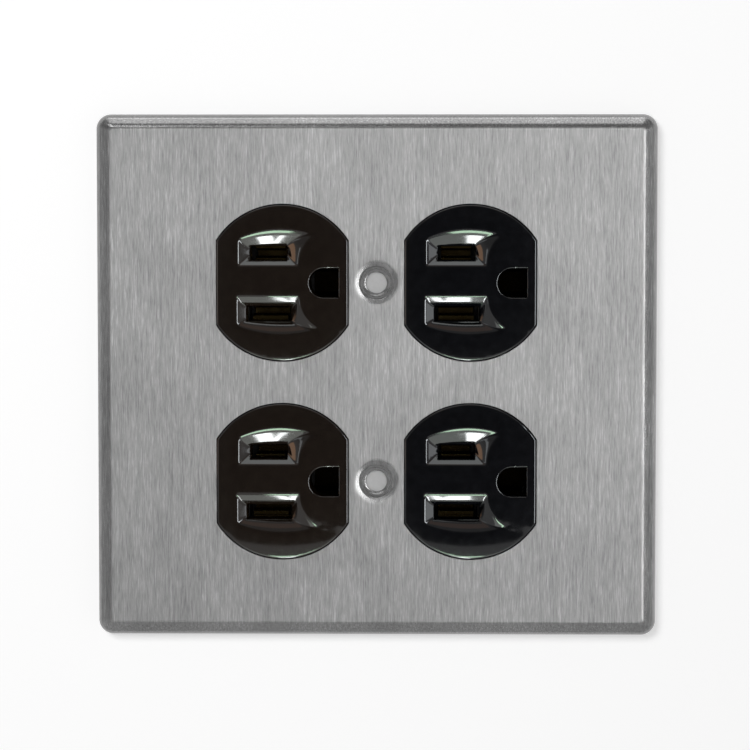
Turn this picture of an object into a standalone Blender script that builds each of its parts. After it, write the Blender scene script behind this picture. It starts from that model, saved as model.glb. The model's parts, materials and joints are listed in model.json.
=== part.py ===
"""A two-gang stainless wall plate cover on two duplex outlets that lie sideways, one above the other.

Frame: +X right, +Z up, and the wall's face at Y = 0. The plate stands out of the wall toward -Y and
the outlets reach into the wall box toward +Y. The origin is the plate's centre on the wall's face.
Each outlet is modelled about its own centre, and its row's empty carries it to its height.
"""

import math

import bmesh
import bpy
from mathutils import Matrix, Vector

MM = 0.001
X, Y, Z = Vector((1, 0, 0)), Vector((0, 1, 0)), Vector((0, 0, 1))

GAP = 0.3 * MM  # clearance between neighbouring pieces
REACH = 1.0 * MM  # how far a cutter runs past the surface it opens
EMBED = 0.5 * MM  # how far one shape runs into the shape it is joined to
INSET = 0.1 * MM  # a step that keeps two joined faces out of one plane
WELD = 0.0005 * MM  # points this close become one
ROUND_SIDES = 16
SMALL_SIDES = 10

# Cover plate
PLATE_WIDTH = 122.6 * MM
PLATE_HEIGHT = 114.3 * MM
PLATE_DEPTH = 5.6 * MM
SHEET = 0.9 * MM
PLATE_CORNER_RADIUS = 3.6 * MM
PLATE_EDGE_RADIUS = 3.0 * MM
PLATE_HOLE_RADIUS = 2.3 * MM
DIMPLE_RADIUS = 4.7 * MM
DIMPLE_DEPTH = 1.9 * MM
DIMPLE_BOSS_RADIUS = 5.7 * MM
DIMPLE_BOSS_TIP_RADIUS = 3.1 * MM
DIMPLE_BOSS_TIP = -3.2 * MM

# Outlet rows, and the outlet's body about its own centre
ROWS = {"upper": 20.45 * MM, "lower": -22.95 * MM}
BODY_HALF_LENGTH = 36.0 * MM
BODY_HALF_HEIGHT = 16.4 * MM
BODY_EDGE_RADIUS = 0.8 * MM
COVER_FRONT = -2.6 * MM
COVER_BACK = 3.0 * MM
BASE_FRONT = COVER_BACK + GAP
BASE_BACK = 23.0 * MM

# Outlet faces
FACE_OFFSET = 20.5 * MM
FACE_RADIUS = 17.0 * MM
FACE_HALF_WIDTH = 14.3 * MM
FACE_GAP = 0.35 * MM
CROWN_RADIUS = 112.0 * MM
CROWN_FRONT = -7.0 * MM
MOUTH_Y = -6.6 * MM
SLOT_Y = -3.8 * MM
LINE_SLOT = ((-7.07 * MM, 4.96 * MM), (0.98 * MM, 7.99 * MM))
NEUTRAL_SLOT = ((-7.84 * MM, -5.06 * MM), (1.93 * MM, -8.27 * MM))
LINE_MOUTH = {
    "inner_left": (-10.15 * MM, 3.6 * MM),
    "inner_right": (4.1 * MM, 3.4 * MM),
    "flare": (4.9 * MM, 7.1 * MM),
    "tip": (8.6 * MM, 10.6 * MM),
    "outer": (-1.0 * MM, 13.05 * MM),
    "outer_left": (-10.15 * MM, 10.2 * MM),
}
NEUTRAL_MOUTH = {
    "inner_left": (-10.4 * MM, -2.75 * MM),
    "inner_right": (4.1 * MM, -2.7 * MM),
    "flare": (5.2 * MM, -6.9 * MM),
    "tip": (9.0 * MM, -10.2 * MM),
    "outer": (-0.4 * MM, -12.2 * MM),
    "outer_left": (-10.4 * MM, -9.7 * MM),
}
GROUND_HOLE_RADIUS = 3.2 * MM
GROUND_HOLE_X = 9.05 * MM
GROUND_HOLE_FLAT = 12.28 * MM

# Blade contacts and terminals
BLADE_X = -3.0 * MM
BLADE_Z = 6.35 * MM
LINE_CONTACT_WIDTH = 6.6 * MM
NEUTRAL_CONTACT_WIDTH = 7.8 * MM
POCKET_HALF_WIDTH = 4.8 * MM
POCKET_INNER = 3.9 * MM
POCKET_BACK = 14.6 * MM
SIDE_PLATE_HALF_LENGTH = 29.5 * MM
SIDE_PLATE_INNER = 13.6 * MM
SIDE_PLATE_OUTER = 14.8 * MM
SIDE_PLATE_FRONT = 5.0 * MM
SIDE_PLATE_BACK = 15.0 * MM
BREAK_NOTCH_HALF_WIDTH = 1.2 * MM
BREAK_NOTCH_DEPTH = 3.5 * MM
LEAF_HALF_THICKNESS = 0.4 * MM
LEAF_TIP = (1.5 * MM, 3.6 * MM)
LEAF_PINCH = (1.0 * MM, 6.0 * MM)
LEAF_ROOT = (1.7 * MM, 12.0 * MM)
LEAF_FOLD_FRONT = 12.7 * MM
LEAF_FOLD_BACK = 13.6 * MM
TERMINAL_X = 15.0 * MM
TERMINAL_Y = 10.0 * MM
WINDOW_HALF_WIDTH = 5.2 * MM
WINDOW_FRONT = 4.0 * MM
WINDOW_BACK = 16.8 * MM
WIRE_HOLE_OFFSET = 3.2 * MM
WIRE_HOLE_HALF_WIDTH = 1.1 * MM
WIRE_HOLE_FLOOR = 14.5 * MM

# Ground strip and clips
STRIP_FRONT = 14.9 * MM
STRIP_BACK = 15.9 * MM
STRIP_HALF_HEIGHT = 3.0 * MM
STRIP_LEFT = -14.2 * MM
STRIP_RIGHT = 36.0 * MM
STRIP_LEG_FRONT = 9.0 * MM
STRIP_PAD_RADIUS = 4.3 * MM
CLIP_WIDTH = 5.4 * MM
CLIP_HALF_THICKNESS = 0.4 * MM
CLIP_TIP = (3.5 * MM, 4.0 * MM)
CLIP_PINCH = (2.6 * MM, 7.0 * MM)
CLIP_ROOT = (2.9 * MM, 15.4 * MM)
CLIP_POCKET_HALF_WIDTH = 3.4 * MM
CLIP_POCKET_HALF_HEIGHT = 4.4 * MM
GROUND_CHANNEL_LEFT = -15.0 * MM
GROUND_CHANNEL_BACK = 16.2 * MM

# Mounting strap
STRAP = 1.3 * MM
STRAP_HALF_HEIGHT = 9.5 * MM
STRAP_LEG = BODY_HALF_LENGTH + GAP
STRAP_BACK = BASE_BACK + GAP
STRAP_OUTER_BEND = 2.0 * MM
STRAP_INNER_BEND = 0.7 * MM
EAR_NECK = 41.0 * MM
EAR_NECK_RADIUS = 0.8 * MM
EAR_INNER_RADIUS = 3.2 * MM
EAR_OUTER_RADIUS = 4.5 * MM
EAR_SHOULDER = 50.6 * MM
EAR_SHOULDER_HALF_HEIGHT = 8.0 * MM
EAR_TIP = 52.4 * MM
EAR_HALF_HEIGHT = 16.5 * MM
EAR_TIP_HALF_HEIGHT = 6.4 * MM
EAR_TIP_RADIUS = 1.2 * MM
MOUNT_X = 41.65 * MM
MOUNT_SLOT_RADIUS = 2.1 * MM
MOUNT_SLOT_HALF_LENGTH = 4.0 * MM
EAR_HOLE = (45.8 * MM, 12.6 * MM)
EAR_HOLE_RADIUS = 1.6 * MM
GROUND_TAB_X = 42.6 * MM
GROUND_TAB_Y = 10.0 * MM
GROUND_TAB_TOP = -7.6 * MM
GROUND_TAB_BOTTOM = -8.9 * MM
GROUND_TAB_HALF_WIDTH = 5.0 * MM
GROUND_TAB_TIP = 47.0 * MM
GROUND_TAB_RADIUS = 1.5 * MM

# Fasteners: each radius is the metal's, and a hole for it has the clearance added
POST_RADIUS = 2.4 * MM
POST_FLANGE_RADIUS = 3.6 * MM
POST_FLANGE_FRONT = -2.9 * MM
POST_FLANGE_BACK = -2.3 * MM
POST_RIVET_RADIUS = 3.8 * MM
POST_RIVET_HEIGHT = 1.1 * MM
POST_BORE_RADIUS = 1.55 * MM
POST_BORE_DEPTH = 11.9 * MM
ASSEMBLY_SCREWS = ((31.5 * MM, 6.5 * MM), (-31.5 * MM, -6.5 * MM))
ASSEMBLY_RADIUS = 1.3 * MM
ASSEMBLY_HEAD_RADIUS = 2.6 * MM
ASSEMBLY_HEAD_HEIGHT = 1.6 * MM
ASSEMBLY_TIP = -1.0 * MM
TERMINAL_RADIUS = 1.6 * MM
TERMINAL_HEAD_RADIUS = 3.9 * MM
TERMINAL_HEAD_HEIGHT = 2.0 * MM
TERMINAL_SHANK = 7.0 * MM
CLAMP_HALF_WIDTH = 4.3 * MM
CLAMP_THICKNESS = 1.1 * MM
CLAMP_CORNER_RADIUS = 0.8 * MM
CLAMP_GROOVE_X = 3.1 * MM
CLAMP_GROOVE_HALF_WIDTH = 0.35 * MM
GROUND_CLAMP_HALF_WIDTH = 4.0 * MM
GROUND_SHANK = 6.3 * MM
MOUNTING_RADIUS = 1.75 * MM
MOUNTING_HEAD_RADIUS = 3.4 * MM
MOUNTING_HEAD_HEIGHT = 2.0 * MM
MOUNTING_SHANK = 22.6 * MM
HEAD_CROWN = 0.6 * MM
SCREW_SLOT_WIDTH = 0.9 * MM
SCREW_SLOT_DEPTH = 1.1 * MM
WASHER_HALF_WIDTH = 3.5 * MM
WASHER_HALF_HEIGHT = 4.0 * MM
WASHER_THICKNESS = 0.8 * MM

# The pieces that every outlet has once, in place as modelled
FIXED_PIECES = (
    "face_cover", "base", "yoke", "center_post", "hot_strip", "neutral_strip", "ground_strip"
)

# Colour, roughness and metallic value of each kind of piece
FINISHES = {
    "wall_plate": ((0.36, 0.36, 0.36), 0.34, 1.0),
    "face_cover": ((0.012, 0.011, 0.010), 0.16, 0.0),
    "base": ((0.020, 0.019, 0.018), 0.45, 0.0),
    "yoke": ((0.62, 0.63, 0.64), 0.32, 1.0),
    "center_post": ((0.66, 0.66, 0.66), 0.30, 1.0),
    "hot_strip": ((0.72, 0.50, 0.20), 0.30, 1.0),
    "neutral_strip": ((0.74, 0.53, 0.24), 0.30, 1.0),
    "ground_strip": ((0.70, 0.49, 0.21), 0.32, 1.0),
    "assembly_screw": ((0.58, 0.59, 0.60), 0.35, 1.0),
    "hot_clamp": ((0.70, 0.48, 0.20), 0.34, 1.0),
    "hot_screw": ((0.74, 0.51, 0.20), 0.28, 1.0),
    "neutral_clamp": ((0.64, 0.64, 0.63), 0.34, 1.0),
    "neutral_screw": ((0.68, 0.68, 0.67), 0.28, 1.0),
    "ground_clamp": ((0.62, 0.63, 0.64), 0.36, 1.0),
    "ground_screw": ((0.06, 0.30, 0.10), 0.35, 0.6),
    "mounting_screw": ((0.60, 0.61, 0.62), 0.32, 1.0),
    "retaining_washer": ((0.50, 0.36, 0.22), 0.80, 0.0),
}


# ---- tools ---------------------------------------------------------------------------------------


def clear_scene():
    for thing in list(bpy.data.objects):
        bpy.data.objects.remove(thing, do_unlink=True)


def new_collection(name, hidden=False):
    group = bpy.data.collections.new(name)
    bpy.context.scene.collection.children.link(group)
    group.hide_render = hidden
    return group


def held(mesh):
    """A working object in the cutters' collection."""
    thing = bpy.data.objects.new("shape", mesh)
    thing.hide_render = True
    thing.display_type = "WIRE"
    bpy.data.collections["cutters"].objects.link(thing)
    return thing


def from_bmesh(shape):
    bmesh.ops.recalc_face_normals(shape, faces=shape.faces)
    mesh = bpy.data.meshes.new("shape")
    shape.to_mesh(mesh)
    shape.free()
    return held(mesh)


def baked(thing, *spent):
    """The object with its modifiers applied and its seams welded, and the spent objects removed."""
    bpy.context.view_layer.update()
    evaluated = thing.evaluated_get(bpy.context.evaluated_depsgraph_get())
    mesh = bpy.data.meshes.new_from_object(evaluated)
    mesh.transform(thing.matrix_world)
    shape = bmesh.new()
    shape.from_mesh(mesh)
    bmesh.ops.remove_doubles(shape, verts=shape.verts, dist=WELD)
    for other in (thing, *spent):
        bpy.data.objects.remove(other, do_unlink=True)
    return from_bmesh(shape)


def block(low, high):
    size = [b - a for a, b in zip(low, high)]
    middle = [(a + b) / 2 for a, b in zip(low, high)]
    shape = bmesh.new()
    place = Matrix.Translation(middle) @ Matrix.Diagonal((*size, 1.0))
    bmesh.ops.create_cube(shape, size=1.0, matrix=place)
    return from_bmesh(shape)


def rounded_block(low, high, radius):
    thing = block(low, high)
    bevel = thing.modifiers.new("Edges", "BEVEL")
    bevel.width = radius
    return baked(thing)


def rod(start, end, radius, end_radius=None, sides=ROUND_SIDES):
    """A cylinder from start to end, or a cone where the end has its own radius."""
    start, end = Vector(start), Vector(end)
    along = end - start
    turn = along.to_track_quat("Z", "Y").to_matrix().to_4x4()
    shape = bmesh.new()
    bmesh.ops.create_cone(
        shape,
        cap_ends=True,
        segments=sides,
        radius1=radius,
        radius2=radius if end_radius is None else end_radius,
        depth=along.length,
        matrix=Matrix.Translation((start + end) / 2) @ turn,
    )
    return from_bmesh(shape)


def prism(outlines, across, up, along, low, high):
    """Flat outlines drawn on the across and up axes, filled, and extruded along the third axis."""
    curve = bpy.data.curves.new("outline", "CURVE")
    curve.dimensions = "2D"
    curve.fill_mode = "BOTH"
    curve.extrude = (high - low) / 2
    for outline in outlines:
        spline = curve.splines.new("POLY")
        spline.points.add(len(outline) - 1)
        for point, (u, v) in zip(spline.points, outline):
            point.co = (u, v, 0, 1)
        spline.use_cyclic_u = True
    thing = held(curve)
    turn = Matrix((across, up, along)).transposed().to_4x4()
    thing.matrix_world = Matrix.Translation(along * (low + high) / 2) @ turn
    return baked(thing)


def turned(profile, axis):
    """A profile of (radius, height) points, from its front end round to its back, spun about an axis."""
    mesh = bpy.data.meshes.new("profile")
    count = len(profile)
    mesh.from_pydata(
        [(radius, 0, height) for radius, height in profile],
        [(i, i + 1) for i in range(count - 1)],
        [],
    )
    thing = held(mesh)
    screw = thing.modifiers.new("Spin", "SCREW")
    screw.steps = screw.render_steps = ROUND_SIDES
    screw.use_merge_vertices = True
    screw.merge_threshold = WELD
    thing.matrix_world = axis.to_track_quat("Z", "Y").to_matrix().to_4x4()
    return baked(thing)


def boolean(thing, operation, others):
    for other in others:
        modifier = thing.modifiers.new(operation.title(), "BOOLEAN")
        modifier.operation = operation
        modifier.object = other
    return baked(thing, *others)


def cut(thing, *others):
    return boolean(thing, "DIFFERENCE", others)


def joined(thing, *others):
    return boolean(thing, "UNION", others)


def common(thing, other):
    return boolean(thing, "INTERSECT", [other])


def finished(thing, smooth_below=40):
    """The working object's mesh, shaded smooth across shallow edges, with the object removed."""
    mesh = thing.data
    mesh.shade_smooth()
    mesh.set_sharp_from_angle(angle=math.radians(smooth_below))
    bpy.data.objects.remove(thing, do_unlink=True)
    return mesh


# ---- outlines ------------------------------------------------------------------------------------


def rounded(corners, step=math.radians(45)):
    """The outline through (u, v, radius) corners, each one rounded by an arc of its radius."""
    points = []
    for i, (u, v, radius) in enumerate(corners):
        corner = Vector((u, v))
        before = (Vector(corners[i - 1][:2]) - corner).normalized()
        after = (Vector(corners[(i + 1) % len(corners)][:2]) - corner).normalized()
        if radius == 0:
            points.append(corner)
            continue
        half = before.angle(after) / 2
        centre = corner + (before + after).normalized() * radius / math.sin(half)
        start = corner + before * radius / math.tan(half) - centre
        sweep = start.angle_signed(corner + after * radius / math.tan(half) - centre)
        steps = max(1, round(abs(sweep) / step))
        for k in range(steps + 1):
            turn = Matrix.Rotation(-sweep * k / steps, 2)
            points.append(centre + turn @ start)
    return [tuple(point) for point in points]


def circle(centre, radius, sides=ROUND_SIDES):
    return arc(centre, radius, 0, 2 * math.pi * (1 - 1 / sides), sides - 1)


def arc(centre, radius, start, end, steps):
    angles = [start + (end - start) * k / steps for k in range(steps + 1)]
    return [(centre[0] + radius * math.cos(a), centre[1] + radius * math.sin(a)) for a in angles]


def arc_through(first, middle, last, steps):
    """Points along the circle through three points, from the first to the last."""
    (ax, ay), (bx, by), (cx, cy) = first, middle, last
    twice = 2 * (ax * (by - cy) + bx * (cy - ay) + cx * (ay - by))
    a2, b2, c2 = ax * ax + ay * ay, bx * bx + by * by, cx * cx + cy * cy
    centre = Vector((
        (a2 * (by - cy) + b2 * (cy - ay) + c2 * (ay - by)) / twice,
        (a2 * (cx - bx) + b2 * (ax - cx) + c2 * (bx - ax)) / twice,
    ))
    start = Vector(first) - centre
    sweep = start.angle_signed(Vector(last) - centre)
    return [tuple(centre + Matrix.Rotation(-sweep * k / steps, 2) @ start) for k in range(steps + 1)]


def straight(first, last, steps):
    return [tuple(Vector(first).lerp(Vector(last), k / steps)) for k in range(steps + 1)]


def d_outline(centre, radius, half_width, steps=10):
    """A circle with its left and right sides cut flat: the outline of an outlet face."""
    edge = math.acos(half_width / radius)
    top = arc(centre, radius, edge, math.pi - edge, steps)
    bottom = arc(centre, radius, math.pi + edge, 2 * math.pi - edge, steps)
    return top + bottom


def obround(centre, radius, half_length):
    """A slot with round ends, long in its second direction."""
    u, v = centre
    shift = half_length - radius
    upper = arc((u, v + shift), radius, 0, math.pi, 6)
    return upper + arc((u, v - shift), radius, math.pi, 2 * math.pi, 6)


# ---- cover plate ---------------------------------------------------------------------------------


def plate_shell():
    """The pressed sheet before its holes: a flat front whose rolled edges turn back to the wall."""
    half_width, half_height = PLATE_WIDTH / 2, PLATE_HEIGHT / 2
    thing = block((-half_width, -PLATE_DEPTH, -half_height), (half_width, 0, half_height))
    shape = bmesh.new()
    shape.from_mesh(thing.data)
    bpy.data.objects.remove(thing, do_unlink=True)
    corners = [edge for edge in shape.edges if abs(edge.verts[0].co.y - edge.verts[1].co.y) > EMBED]
    arc_shape = {"segments": ROUND_SIDES // 4, "profile": 0.5, "affect": "EDGES"}
    bmesh.ops.bevel(shape, geom=corners, offset=PLATE_CORNER_RADIUS, **arc_shape)
    rim = [edge for edge in shape.edges if all(v.co.y < EMBED - PLATE_DEPTH for v in edge.verts)]
    bmesh.ops.bevel(shape, geom=rim, offset=PLATE_EDGE_RADIUS, **arc_shape)
    back = [face for face in shape.faces if all(v.co.y > -EMBED for v in face.verts)]
    bmesh.ops.delete(shape, geom=back, context="FACES")
    shell = from_bmesh(shape)
    solidify = shell.modifiers.new("Sheet", "SOLIDIFY")
    solidify.thickness = SHEET
    solidify.offset = -1
    solidify.use_even_offset = True
    return baked(shell)


def wall_plate():
    plate = plate_shell()
    inside = SHEET - PLATE_DEPTH
    bosses, dimples, holes, openings = [], [], [], []
    for row in ROWS.values():
        bosses.append(rod(
            (0, inside - GAP, row),
            (0, DIMPLE_BOSS_TIP, row),
            DIMPLE_BOSS_RADIUS,
            DIMPLE_BOSS_TIP_RADIUS,
        ))
        slope = (DIMPLE_RADIUS - PLATE_HOLE_RADIUS) / DIMPLE_DEPTH
        dimples.append(rod(
            (0, -PLATE_DEPTH - REACH, row),
            (0, DIMPLE_DEPTH - PLATE_DEPTH, row),
            DIMPLE_RADIUS + slope * REACH,
            PLATE_HOLE_RADIUS,
        ))
        holes.append(rod((0, -PLATE_DEPTH, row), (0, DIMPLE_BOSS_TIP + REACH, row), PLATE_HOLE_RADIUS))
        outlines = [
            d_outline((side * FACE_OFFSET, row), FACE_RADIUS + FACE_GAP, FACE_HALF_WIDTH + FACE_GAP)
            for side in (-1, 1)
        ]
        openings.append(prism(outlines, X, Z, Y, -PLATE_DEPTH - REACH, inside + REACH / 2))
    return finished(cut(joined(plate, *bosses), *openings, *dimples, *holes))


# ---- outlet: insulating shells -------------------------------------------------------------------


def crowned_face(side):
    """One outlet face: a column of the face's outline with a slightly domed front."""
    rim = FACE_RADIUS + REACH
    rings = 3
    crown = [
        (r, CROWN_FRONT + CROWN_RADIUS - math.sqrt(CROWN_RADIUS**2 - r**2))
        for r in (rim * k / rings for k in range(rings + 1))
    ]
    dome = turned([*crown, (rim, -EMBED), (0, -EMBED)], Y)
    dome.data.transform(Matrix.Translation(side * FACE_OFFSET * X))
    outline = d_outline((side * FACE_OFFSET, 0), FACE_RADIUS, FACE_HALF_WIDTH)
    return common(prism([outline], X, Z, Y, CROWN_FRONT - REACH, REACH), dome)


def mouth_ring(mouth):
    """The funnel's outline on the face: straight inner and left sides, a flare and an outer arc."""
    return (
        straight(mouth["inner_left"], mouth["inner_right"], 1)[:-1]
        + arc_through(mouth["inner_right"], mouth["flare"], mouth["tip"], 4)[:-1]
        + arc_through(mouth["tip"], mouth["outer"], mouth["outer_left"], 8)
    )


def slot_ring(slot):
    """The slot's rectangle, with as many points on each side as the mouth's ring has there."""
    (left, inner), (right, outer) = slot
    return (
        straight((left, inner), (right, inner), 1)[:-1]
        + straight((right, inner), (right, outer), 4)[:-1]
        + straight((right, outer), (left, outer), 8)
    )


def slot_and_funnel(slot, mouth, face_x):
    """A loft from behind the cover along the slot, then through the mouth on the face and on past it."""
    front = CROWN_FRONT - REACH
    stretch = (SLOT_Y - front) / (SLOT_Y - MOUTH_Y)
    floor = [Vector((face_x + x, SLOT_Y, z)) for x, z in slot_ring(slot)]
    face = [Vector((face_x + x, MOUTH_Y, z)) for x, z in mouth_ring(mouth)]
    shape = bmesh.new()
    rings = [
        [shape.verts.new((point.x, COVER_BACK + REACH, point.z)) for point in floor],
        [shape.verts.new(point) for point in floor],
        [shape.verts.new(a.lerp(b, stretch)) for a, b in zip(floor, face)],
    ]
    shape.faces.new(rings[0])
    shape.faces.new(rings[-1])
    count = len(floor)
    for lower, upper in zip(rings, rings[1:]):
        walls = [
            shape.faces.new((lower[i], lower[i - 1], upper[i - 1], upper[i])) for i in range(count)
        ]
    bmesh.ops.triangulate(shape, faces=walls)
    return from_bmesh(shape)


def ground_hole(face_x):
    centre = (face_x + GROUND_HOLE_X, 0)
    flat = face_x + GROUND_HOLE_FLAT
    outline = arc(centre, GROUND_HOLE_RADIUS, math.pi / 2, 3 * math.pi / 2, 10)
    outline += [(flat, -GROUND_HOLE_RADIUS), (flat, GROUND_HOLE_RADIUS)]
    return prism([outline], X, Z, Y, CROWN_FRONT - REACH, COVER_BACK + REACH)


def face_cover():
    shoulder = rounded_block(
        (-BODY_HALF_LENGTH, COVER_FRONT, -BODY_HALF_HEIGHT),
        (BODY_HALF_LENGTH, COVER_BACK, BODY_HALF_HEIGHT),
        BODY_EDGE_RADIUS,
    )
    cover = joined(shoulder, crowned_face(-1), crowned_face(1))
    openings = [
        rod((0, COVER_FRONT - REACH, 0), (0, COVER_BACK + REACH, 0), POST_RADIUS + GAP),
        rod((0, COVER_FRONT - REACH, 0), (0, POST_FLANGE_BACK + GAP, 0), POST_FLANGE_RADIUS + GAP),
    ]
    for x, z in ASSEMBLY_SCREWS:
        start, end = (x, ASSEMBLY_TIP - REACH, z), (x, COVER_BACK + REACH, z)
        openings.append(rod(start, end, ASSEMBLY_RADIUS + GAP, sides=SMALL_SIDES))
    for face_x in (-FACE_OFFSET, FACE_OFFSET):
        openings.append(ground_hole(face_x))
        openings.append(slot_and_funnel(LINE_SLOT, LINE_MOUTH, face_x))
        openings.append(slot_and_funnel(NEUTRAL_SLOT, NEUTRAL_MOUTH, face_x))
    return finished(cut(cover, *openings))


def base_pockets(side):
    """The openings on one long side of the base: contact pockets, plate channel, windows, wire holes."""

    def box(x_low, x_high, y_low, y_high, inner, outer):
        low, high = sorted((side * inner, side * outer))
        return block((x_low, y_low, low), (x_high, y_high, high))

    front = BASE_FRONT - REACH
    outside = BODY_HALF_HEIGHT + REACH
    wall = SIDE_PLATE_OUTER + GAP
    length = SIDE_PLATE_HALF_LENGTH + GAP
    openings = [box(-length, length, front, SIDE_PLATE_BACK + GAP, SIDE_PLATE_INNER - GAP, wall)]
    for face in (-1, 1):
        x = face * FACE_OFFSET + BLADE_X
        low, high = x - POCKET_HALF_WIDTH, x + POCKET_HALF_WIDTH
        openings.append(box(low, high, front, POCKET_BACK, POCKET_INNER, wall - EMBED))
        x = face * TERMINAL_X
        low, high = x - WINDOW_HALF_WIDTH, x + WINDOW_HALF_WIDTH
        openings.append(box(low, high, WINDOW_FRONT, WINDOW_BACK, wall - GAP, outside))
        openings.append(rod(
            (x, TERMINAL_Y, side * (SIDE_PLATE_OUTER + CLAMP_THICKNESS - TERMINAL_SHANK)),
            (x, TERMINAL_Y, side * outside),
            TERMINAL_RADIUS + EMBED,
            sides=SMALL_SIDES,
        ))
        for wire in (-1, 1):
            middle = x + wire * WIRE_HOLE_OFFSET
            openings.append(box(
                middle - WIRE_HOLE_HALF_WIDTH,
                middle + WIRE_HOLE_HALF_WIDTH,
                WINDOW_BACK - EMBED,
                BASE_BACK + REACH,
                WIRE_HOLE_FLOOR,
                outside,
            ))
    return openings


def base():
    body = rounded_block(
        (-BODY_HALF_LENGTH, BASE_FRONT, -BODY_HALF_HEIGHT),
        (BODY_HALF_LENGTH, BASE_BACK, BODY_HALF_HEIGHT),
        BODY_EDGE_RADIUS,
    )
    front, back = BASE_FRONT - REACH, BASE_BACK + REACH
    channel = STRIP_HALF_HEIGHT + GAP
    openings = [
        block(
            (GROUND_CHANNEL_LEFT, front, -channel),
            (BODY_HALF_LENGTH + REACH, GROUND_CHANNEL_BACK, channel),
        ),
        rod((0, front, 0), (0, GROUND_CHANNEL_BACK + GAP, 0), STRIP_PAD_RADIUS + GAP),
        rod((0, GROUND_CHANNEL_BACK - EMBED, 0), (0, back, 0), POST_RADIUS + GAP),
    ]
    for face in (-1, 1):
        x = face * FACE_OFFSET + GROUND_HOLE_X
        openings.append(block(
            (x - CLIP_POCKET_HALF_WIDTH, front, -CLIP_POCKET_HALF_HEIGHT),
            (x + CLIP_POCKET_HALF_WIDTH, GROUND_CHANNEL_BACK - EMBED, CLIP_POCKET_HALF_HEIGHT),
        ))
    for x, z in ASSEMBLY_SCREWS:
        openings.append(rod((x, front, z), (x, back, z), ASSEMBLY_RADIUS + GAP, sides=SMALL_SIDES))
    return finished(cut(body, *openings, *base_pockets(1), *base_pockets(-1)))


# ---- outlet: metal inside ------------------------------------------------------------------------


def mirrored_outline(half):
    """A closed outline from its right half, which runs from one end of the middle line to the other."""
    return half + [(-u, v) for u, v in reversed(half)]


def ribbon(middle, half_thickness):
    """The outline of a strip seen edge on: along its middle line's inner side and back on the outer."""
    inner = [(u - half_thickness, v) for u, v in middle]
    return inner + [(u + half_thickness, v) for u, v in reversed(middle)]


def contact_outline():
    """One blade contact seen from its end: two sprung leaves on a folded base, with an arm at its side."""
    middle = [(LEAF_ROOT[0], LEAF_FOLD_FRONT), LEAF_ROOT, LEAF_PINCH, LEAF_TIP]
    right = ribbon(middle, LEAF_HALF_THICKNESS)[:-1]
    left = [(-u, v) for u, v in reversed(right)]
    heel = LEAF_ROOT[0] + LEAF_HALF_THICKNESS
    arm, arm_front = SIDE_PLATE_INNER + EMBED - BLADE_Z, LEAF_FOLD_FRONT - INSET
    base = [(heel, arm_front), (arm, arm_front), (arm, LEAF_FOLD_BACK), (-heel, LEAF_FOLD_BACK)]
    return right + base + left


def blade_strip(side, width):
    """A brass strip along one long side: two blade contacts, a side plate and its break-off notches."""
    low, high = sorted((side * SIDE_PLATE_INNER, side * SIDE_PLATE_OUTER))
    strip = block(
        (-SIDE_PLATE_HALF_LENGTH, SIDE_PLATE_FRONT, low), (SIDE_PLATE_HALF_LENGTH, SIDE_PLATE_BACK, high)
    )
    outline = [(side * (BLADE_Z + u), v) for u, v in contact_outline()]
    contacts = []
    for face in (-1, 1):
        x = face * FACE_OFFSET + BLADE_X
        contacts.append(prism([outline], Z, Y, X, x - width / 2, x + width / 2))
    strip = joined(strip, *contacts)
    openings = []
    for front, back in (
        (SIDE_PLATE_FRONT - REACH, SIDE_PLATE_FRONT + BREAK_NOTCH_DEPTH),
        (SIDE_PLATE_BACK - BREAK_NOTCH_DEPTH, SIDE_PLATE_BACK + REACH),
    ):
        openings.append(block(
            (-BREAK_NOTCH_HALF_WIDTH, front, low - REACH), (BREAK_NOTCH_HALF_WIDTH, back, high + REACH)
        ))
    for x in (-TERMINAL_X, TERMINAL_X):
        openings.append(rod(
            (x, TERMINAL_Y, low - EMBED),
            (x, TERMINAL_Y, high + REACH),
            TERMINAL_RADIUS + GAP,
            sides=SMALL_SIDES,
        ))
    return finished(cut(strip, *openings))


def ground_strip():
    """The brass ground strip: a flat bar round the post, two round-pin clips and a leg to the strap."""
    strip = block(
        (STRIP_LEFT, STRIP_FRONT, -STRIP_HALF_HEIGHT), (STRIP_RIGHT, STRIP_BACK, STRIP_HALF_HEIGHT)
    )
    thickness = STRIP_BACK - STRIP_FRONT
    parts = [
        rod((0, STRIP_FRONT + INSET, 0), (0, STRIP_BACK - INSET, 0), STRIP_PAD_RADIUS),
        block(
            (STRIP_RIGHT - thickness, STRIP_LEG_FRONT, -STRIP_HALF_HEIGHT + INSET),
            (STRIP_RIGHT - INSET, STRIP_FRONT + EMBED, STRIP_HALF_HEIGHT - INSET),
        ),
    ]
    leaf = ribbon([CLIP_TIP, CLIP_PINCH, CLIP_ROOT], CLIP_HALF_THICKNESS)
    for face in (-1, 1):
        x = face * FACE_OFFSET + GROUND_HOLE_X
        for side in (-1, 1):
            outline = [(side * u, v) for u, v in leaf]
            parts.append(prism([outline], Z, Y, X, x - CLIP_WIDTH / 2, x + CLIP_WIDTH / 2))
    strip = joined(strip, *parts)
    bore = rod((0, STRIP_FRONT - REACH, 0), (0, STRIP_BACK + REACH, 0), POST_RADIUS + GAP)
    return finished(cut(strip, bore))


def strap_profile():
    """The strap seen from above: ears on the wall's face, legs down the body's ends and a back."""
    leg, back = STRAP_LEG, STRAP_BACK
    outer, inner = STRAP_OUTER_BEND, STRAP_INNER_BEND
    right = [
        (leg, back, inner),
        (leg, -STRAP, outer),
        (EAR_TIP, -STRAP, 0),
        (EAR_TIP, 0, 0),
        (leg + STRAP, 0, inner),
        (leg + STRAP, back + STRAP, outer),
    ]
    left = [(-u, v, radius) for u, v, radius in reversed(right)]
    return rounded(right + left)


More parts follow.
